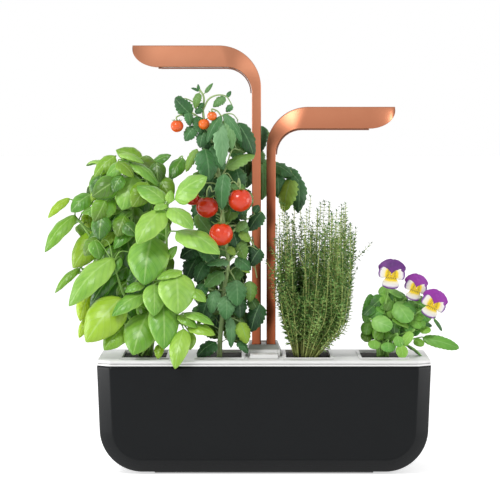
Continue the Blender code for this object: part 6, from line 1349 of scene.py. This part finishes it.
def make_thyme():
    chance = random.Random(23)
    root = root_of("thyme")
    stems, leaves = Shape(), Shape()

    def sprig(path, radius, gap, leafy_from, size, shade):
        """One sprig: a thin stem with opposite pairs of leaves, each pair turned from the last."""
        add_tube(stems, path, [radius * (1 - 0.5 * i / len(path)) for i in range(len(path))], 5)
        lengths = [0.0]
        for a, b in zip(path, path[1:]):
            lengths.append(lengths[-1] + (b - a).length)
        total = lengths[-1]
        reach, turn, index = total * leafy_from, chance.uniform(0, 6), 0
        while reach < total:
            while index < len(path) - 2 and lengths[index + 1] < reach:
                index += 1
            share = (reach - lengths[index]) / max(lengths[index + 1] - lengths[index], 1e-6)
            spot = path[index].lerp(path[index + 1], min(share, 1.0))
            ahead = (path[index + 1] - path[index]).normalized()
            across = ahead.orthogonal().normalized()
            across.rotate(Matrix.Rotation(turn, 3, ahead))
            high = reach / total
            for way in (1, -1):
                out = (across * way + ahead * chance.uniform(0.25, 0.8)).normalized()
                bright = min(1, max(0, shade + chance.uniform(-0.25, 0.3)))
                tone = (bright, chance.uniform(0, 0.25) * (1 - high))
                length = size * chance.uniform(0.75, 1.15) * (1.1 - 0.35 * high)
                add_small_leaf(leaves, spot, out, ahead, length, length * SMALL_LEAF_BREADTH_SHARE, tone)
            reach += gap * chance.uniform(0.8, 1.2)
            turn += math.pi / 2
        for way in range(3):
            out = ((path[-1] - path[-2]).normalized() + heading(way * 120, 0) * 0.5).normalized()
            tone = (shade * 0.6, 0.0)
            add_small_leaf(leaves, path[-1], out, Vector((0, 0, 1)), size * 0.7, size * 0.25, tone)

    made = tries = 0
    while made < THYME_STEMS and tries < THYME_STEMS * 30:
        tries += 1
        spread = math.sqrt(chance.uniform(0, 1))
        turn = chance.uniform(0, 2 * math.pi)
        across, back = math.cos(turn) * spread, math.sin(turn) * spread
        base = root + Vector((across * THYME_CROWN_WIDTH / 2, back * THYME_CROWN_DEPTH / 2, 0.0))
        height = (THYME_HEIGHT - THYME_EDGE_DROP * spread ** 3) * chance.uniform(0.5, 1.0)
        top_x = THYME_LEAN_X + across * THYME_SPREAD_X * (0.7 + 0.3 * height / THYME_HEIGHT)
        top = root + Vector((top_x, back * THYME_SPREAD_Y, height))
        if top.x < BESIDE_MAST_TOP_X:
            top.y = -0.018 - 0.030 * abs(back)
            base.y = min(base.y, BESIDE_MAST_BASE_Y)
        top.y = min(top.y, THYME_TOP_BACK_Y)
        middle = base.lerp(top, 0.45) + Vector((top.x - base.x, top.y - base.y, 0)) * 0.40
        end = top + Vector((chance.uniform(-4, 4) * MM, 0, 0))
        path = smooth_path([base, base.lerp(middle, 0.5), middle, end], 5)
        if not all(thyme_room(p) for p in path[3:]):
            continue
        made += 1
        # Painted shade: sprigs rooted towards the back are darker.
        shade = chance.uniform(0.35, 0.85) - 0.25 * (back > 0.2)
        sprig(path, 0.6 * MM, 3.4 * MM, 0.14, 6.6 * MM, shade)
        for _ in range(5):
            if chance.random() > THYME_SIDE_SHARE:
                continue
            start = path[int(len(path) * chance.uniform(0.3, 0.85))]
            way = heading(chance.uniform(0, 360), chance.uniform(25, 60))
            end = start + way * chance.uniform(12, 26) * MM + Vector((0, 0, 8 * MM))
            twig = smooth_path([start, start.lerp(end, 0.5) + way * 2 * MM, end], 4)
            if all(thyme_room(p) for p in twig):
                sprig(twig, 0.42 * MM, 2.9 * MM, 0.1, 6.0 * MM, shade)
    stems.make("thyme_stems", THYME_STEM, "pod_thyme", "thyme_leaf")
    leaves.make("thyme_leaves", FINISHES["thyme_leaf"], "pod_thyme", "thyme_leaf", ["thyme_plant"])


# Viola leaves: as the basil's leaves
VIOLA_LEAVES = (
    (366, 323, 371, 294, -14, -16, 12, 5, 0.50, 0.0),
    (391, 313, 376, 308, -22, -30, 10, 45, 0.65, 0.1),
    (396, 302, 410, 322, -26, -38, 21, 15, 0.75, 0.0),
    (372, 320, 392, 328, -38, -46, 17, 15, 0.80, 0.0),
    (418, 307, 427, 321, -22, -28, 14, 20, 0.45, 0.0),
    (411, 296, 432, 307, -24, -30, 11, 40, 0.60, 0.0),
    (389, 289, 402, 297, -24, -30, 8, 45, 0.80, 0.0),
    (387, 293, 408, 302, -14, -18, 14, 25, 0.20, 0.0),
    (388, 287, 379, 294, -18, -22, 9, 30, 0.55, 0.2),
    (414, 327, 392, 319, -26, -30, 11, 45, 0.60, 0.3),
    (420, 330, 431, 330, -26, -28, 9, 40, 0.60, 0.4),
    (423, 338, 459, 348, -22, -26, 13, 25, 0.50, 0.1),
    (375, 340, 374, 349, -40, -48, 13, 45, 0.65, 0.2),
    (388, 342, 389, 352, -42, -50, 15, 45, 0.60, 0.0),
    (397, 336, 400, 347, -44, -50, 10, 20, 0.55, 0.1),
    (401, 345, 403, 358, -48, -56, 12, 20, 0.65, 0.35),
    (412, 332, 402, 346, -40, -46, 10, 20, 0.70, 0.3),
    (390, 306, 374, 320, -10, -12, 16, 20, 0.08, 0.0),
    (406, 318, 404, 340, -16, -20, 16, 20, 0.20, 0.1),
    (384, 322, 378, 342, -16, -20, 16, 20, 0.15, 0.0),
    (418, 322, 432, 326, -8, -6, 7, 40, 0.15, 0.0),
    (398, 328, 386, 340, -28, -32, 12, 20, 0.35, 0.2),
    (434, 319, 442, 331, -10, -8, 4, 40, 0.10, 0.0),
    (414, 340, 424, 345, -30, -34, 9, 30, 0.4, 0.3),
)
VIOLA_BACK_LEAVES = 20
VIOLA_OUTLINE = [(362, 304), (372, 296), (390, 292), (410, 298), (430, 310), (428, 330), (406, 346),
                 (372, 346), (362, 336)]
VIOLA_ROOT_Y = -0.016
VIOLA_STALK_RADIUS = 0.7 * MM
VIOLA_FLOWER_STALK_RADIUS = 0.8 * MM
VIOLA_BREADTH_SHARE = 1.08
VIOLA_SWAY = 0.1
VIOLA_X = 0.1035
VIOLA_BACK_X = 0.104
VIOLA_FRONT_Y = -0.006
VIOLA_BACK_Y = 0.075
VIOLA_FILL = (44, (-30, -12), (13, 20), 0.85)     # leaves, depths and lengths in pixels, breadth share
# Painted shade: the filling leaves behind the listed ones are given dark tones, down to 0.05.
VIOLA_FILL_TONES = (0.05, 0.55)

# Stems that the filling leaves grow from, as millimetres from the root
VIOLA_INNER_STEMS = ((0, 0, 30), (-8, -4, 26), (14, 0, 26))

# Viola flowers: centre, depth, which way they look (across and up), size in pixels, magenta, roll in degrees
VIOLA_FLOWERS = (
    (391.5, 274.5, -46, -0.15, 0.10, 15.5, 0.05, -6),
    (416.0, 288.0, -36, 0.30, -0.05, 14.0, 0.75, -16),
    (433.5, 304.5, -40, 0.15, -0.05, 15.0, 0.85, -26),
)

# A flower's petals: angle from upright, length, breadth, how far forward, and whether it has the face
VIOLA_PETALS = (
    (-30, 1.0, 1.05, -0.20, 0.0),
    (36, 1.02, 1.05, -0.26, 0.0),
    (-84, 0.86, 0.80, 0.02, 1.0),
    (82, 0.86, 0.80, 0.05, 1.0),
    (180, 0.92, 1.15, 0.12, 1.0),
)


def make_viola():
    chance = random.Random(5)
    root = root_of("viola") + Vector((0, VIOLA_ROOT_Y, 0))
    stems, leaves, petals = Shape(), Shape(), Shape()

    def stalk(place, ahead, radius=VIOLA_STALK_RADIUS):
        start = root + Vector((chance.uniform(-6, 6), chance.uniform(-8, 8), 0)) * MM
        out = place - start
        bend = start + Vector((out.x * 0.35, out.y * 0.35, out.z * 0.55 + 3 * MM))
        path = smooth_path([start, bend, place - ahead * 3 * MM, place + ahead * 0.5 * MM], 5)
        add_tube(stems, path, [radius] * len(path), 6)

    add_seen_leaves(leaves, VIOLA_LEAVES, VIOLA_BREADTH_SHARE, VIOLA_FORM, VIOLA_SWAY, False, stalk)
    for index in range(VIOLA_BACK_LEAVES):
        azimuth = 20 + 140 * ((index * 0.618) % 1.0)
        rise = 0.25 + 0.75 * ((index * 0.382) % 1.0)
        place = root + heading(azimuth, 0) * (12 + 16 * (1 - rise)) * MM + Vector((0, 0, 52 * rise * MM))
        tip = place + heading(azimuth + chance.uniform(-30, 30), -20 - 20 * (1 - rise)) * 24 * MM
        if min(place.x, tip.x) < VIOLA_BACK_X or max(place.y, tip.y) > VIOLA_BACK_Y:
            continue
        face = Vector((0, 0, 1)) + heading(azimuth, 0) * 0.5
        add_leaf(leaves, place, tip, 18 * MM, face, VIOLA_FORM, (chance.uniform(0.3, 0.7), 0.05), phase=index)
        stalk(place, heading(azimuth, 10))
    paths = [[root, root + Vector(way) * MM] for way in VIOLA_INNER_STEMS]
    for path in paths:
        add_tube(stems, path, [1.2 * MM, 0.8 * MM], 6)

    def allowed(p):
        return p.x > VIOLA_X and p.y < VIOLA_FRONT_Y

    fill_leaves(leaves, stems, paths, chance, VIOLA_OUTLINE, *VIOLA_FILL, VIOLA_FORM,
                VIOLA_FILL_TONES, allowed)
    for px, py, depth, sway, nod, size, magenta, roll in VIOLA_FLOWERS:
        centre = seen_at(px, py, depth * PIXEL)
        facing = Vector((sway, -1, nod)).normalized()
        side = facing.cross(Vector((0, 0, 1))).normalized()
        up = side.cross(facing).normalized()
        for angle, length, breadth, forward, faced in VIOLA_PETALS:
            turn = math.radians(angle + roll)
            way = side * math.sin(turn) + up * math.cos(turn)
            foot = centre + facing * (forward * 3 * MM)
            reach = size * PIXEL * length
            tip = foot + way * reach - facing * reach * 0.12
            add_leaf(petals, foot, tip, reach * breadth, facing, PETAL_FORM, (magenta, faced), phase=angle)
        neck = centre - facing * 3 * MM
        add_tube(petals, [neck, centre + facing * 1.5 * MM], [1.2 * MM, 0.7 * MM], 8, (0.1, 1.0))
        stalk(neck, facing, VIOLA_FLOWER_STALK_RADIUS)
    stems.make("viola_stems", VIOLA_STEM, "pod_viola", "viola_leaf")
    leaves.make("viola_leaves", FINISHES["viola_leaf"], "pod_viola", "viola_leaf", ["viola_plant"])
    petals.make("viola_petals", FINISHES["viola_petal"], "pod_viola", "viola_petal",
                ["viola_flower_1", "viola_flower_2", "viola_flower_3"])


def dress_nodes():
    """The finish of each node that is carried over, by its material slot in the record."""
    soft_edges = {"deck": 0.5, "mast_console": 0.6, "filler_flap": 0.5, "power_button": 0.3, "base_pad": 0.4}
    for part in frame["record"]["subparts"]:
        bevel = soft_edges.get(part["node"], 0.0) * MM
        dress_node(part["node"], part["material_slot"], bevel)


make_camera()
make_lights()
make_world()
make_floor()
dress_nodes()
make_pot()
make_arm("left", -1)
make_arm("right", 1)
for pod_name in ("basil", "tomato", "thyme", "viola"):
    make_soil(pod_name)
make_basil()
make_tomato()
make_thyme()
make_viola()
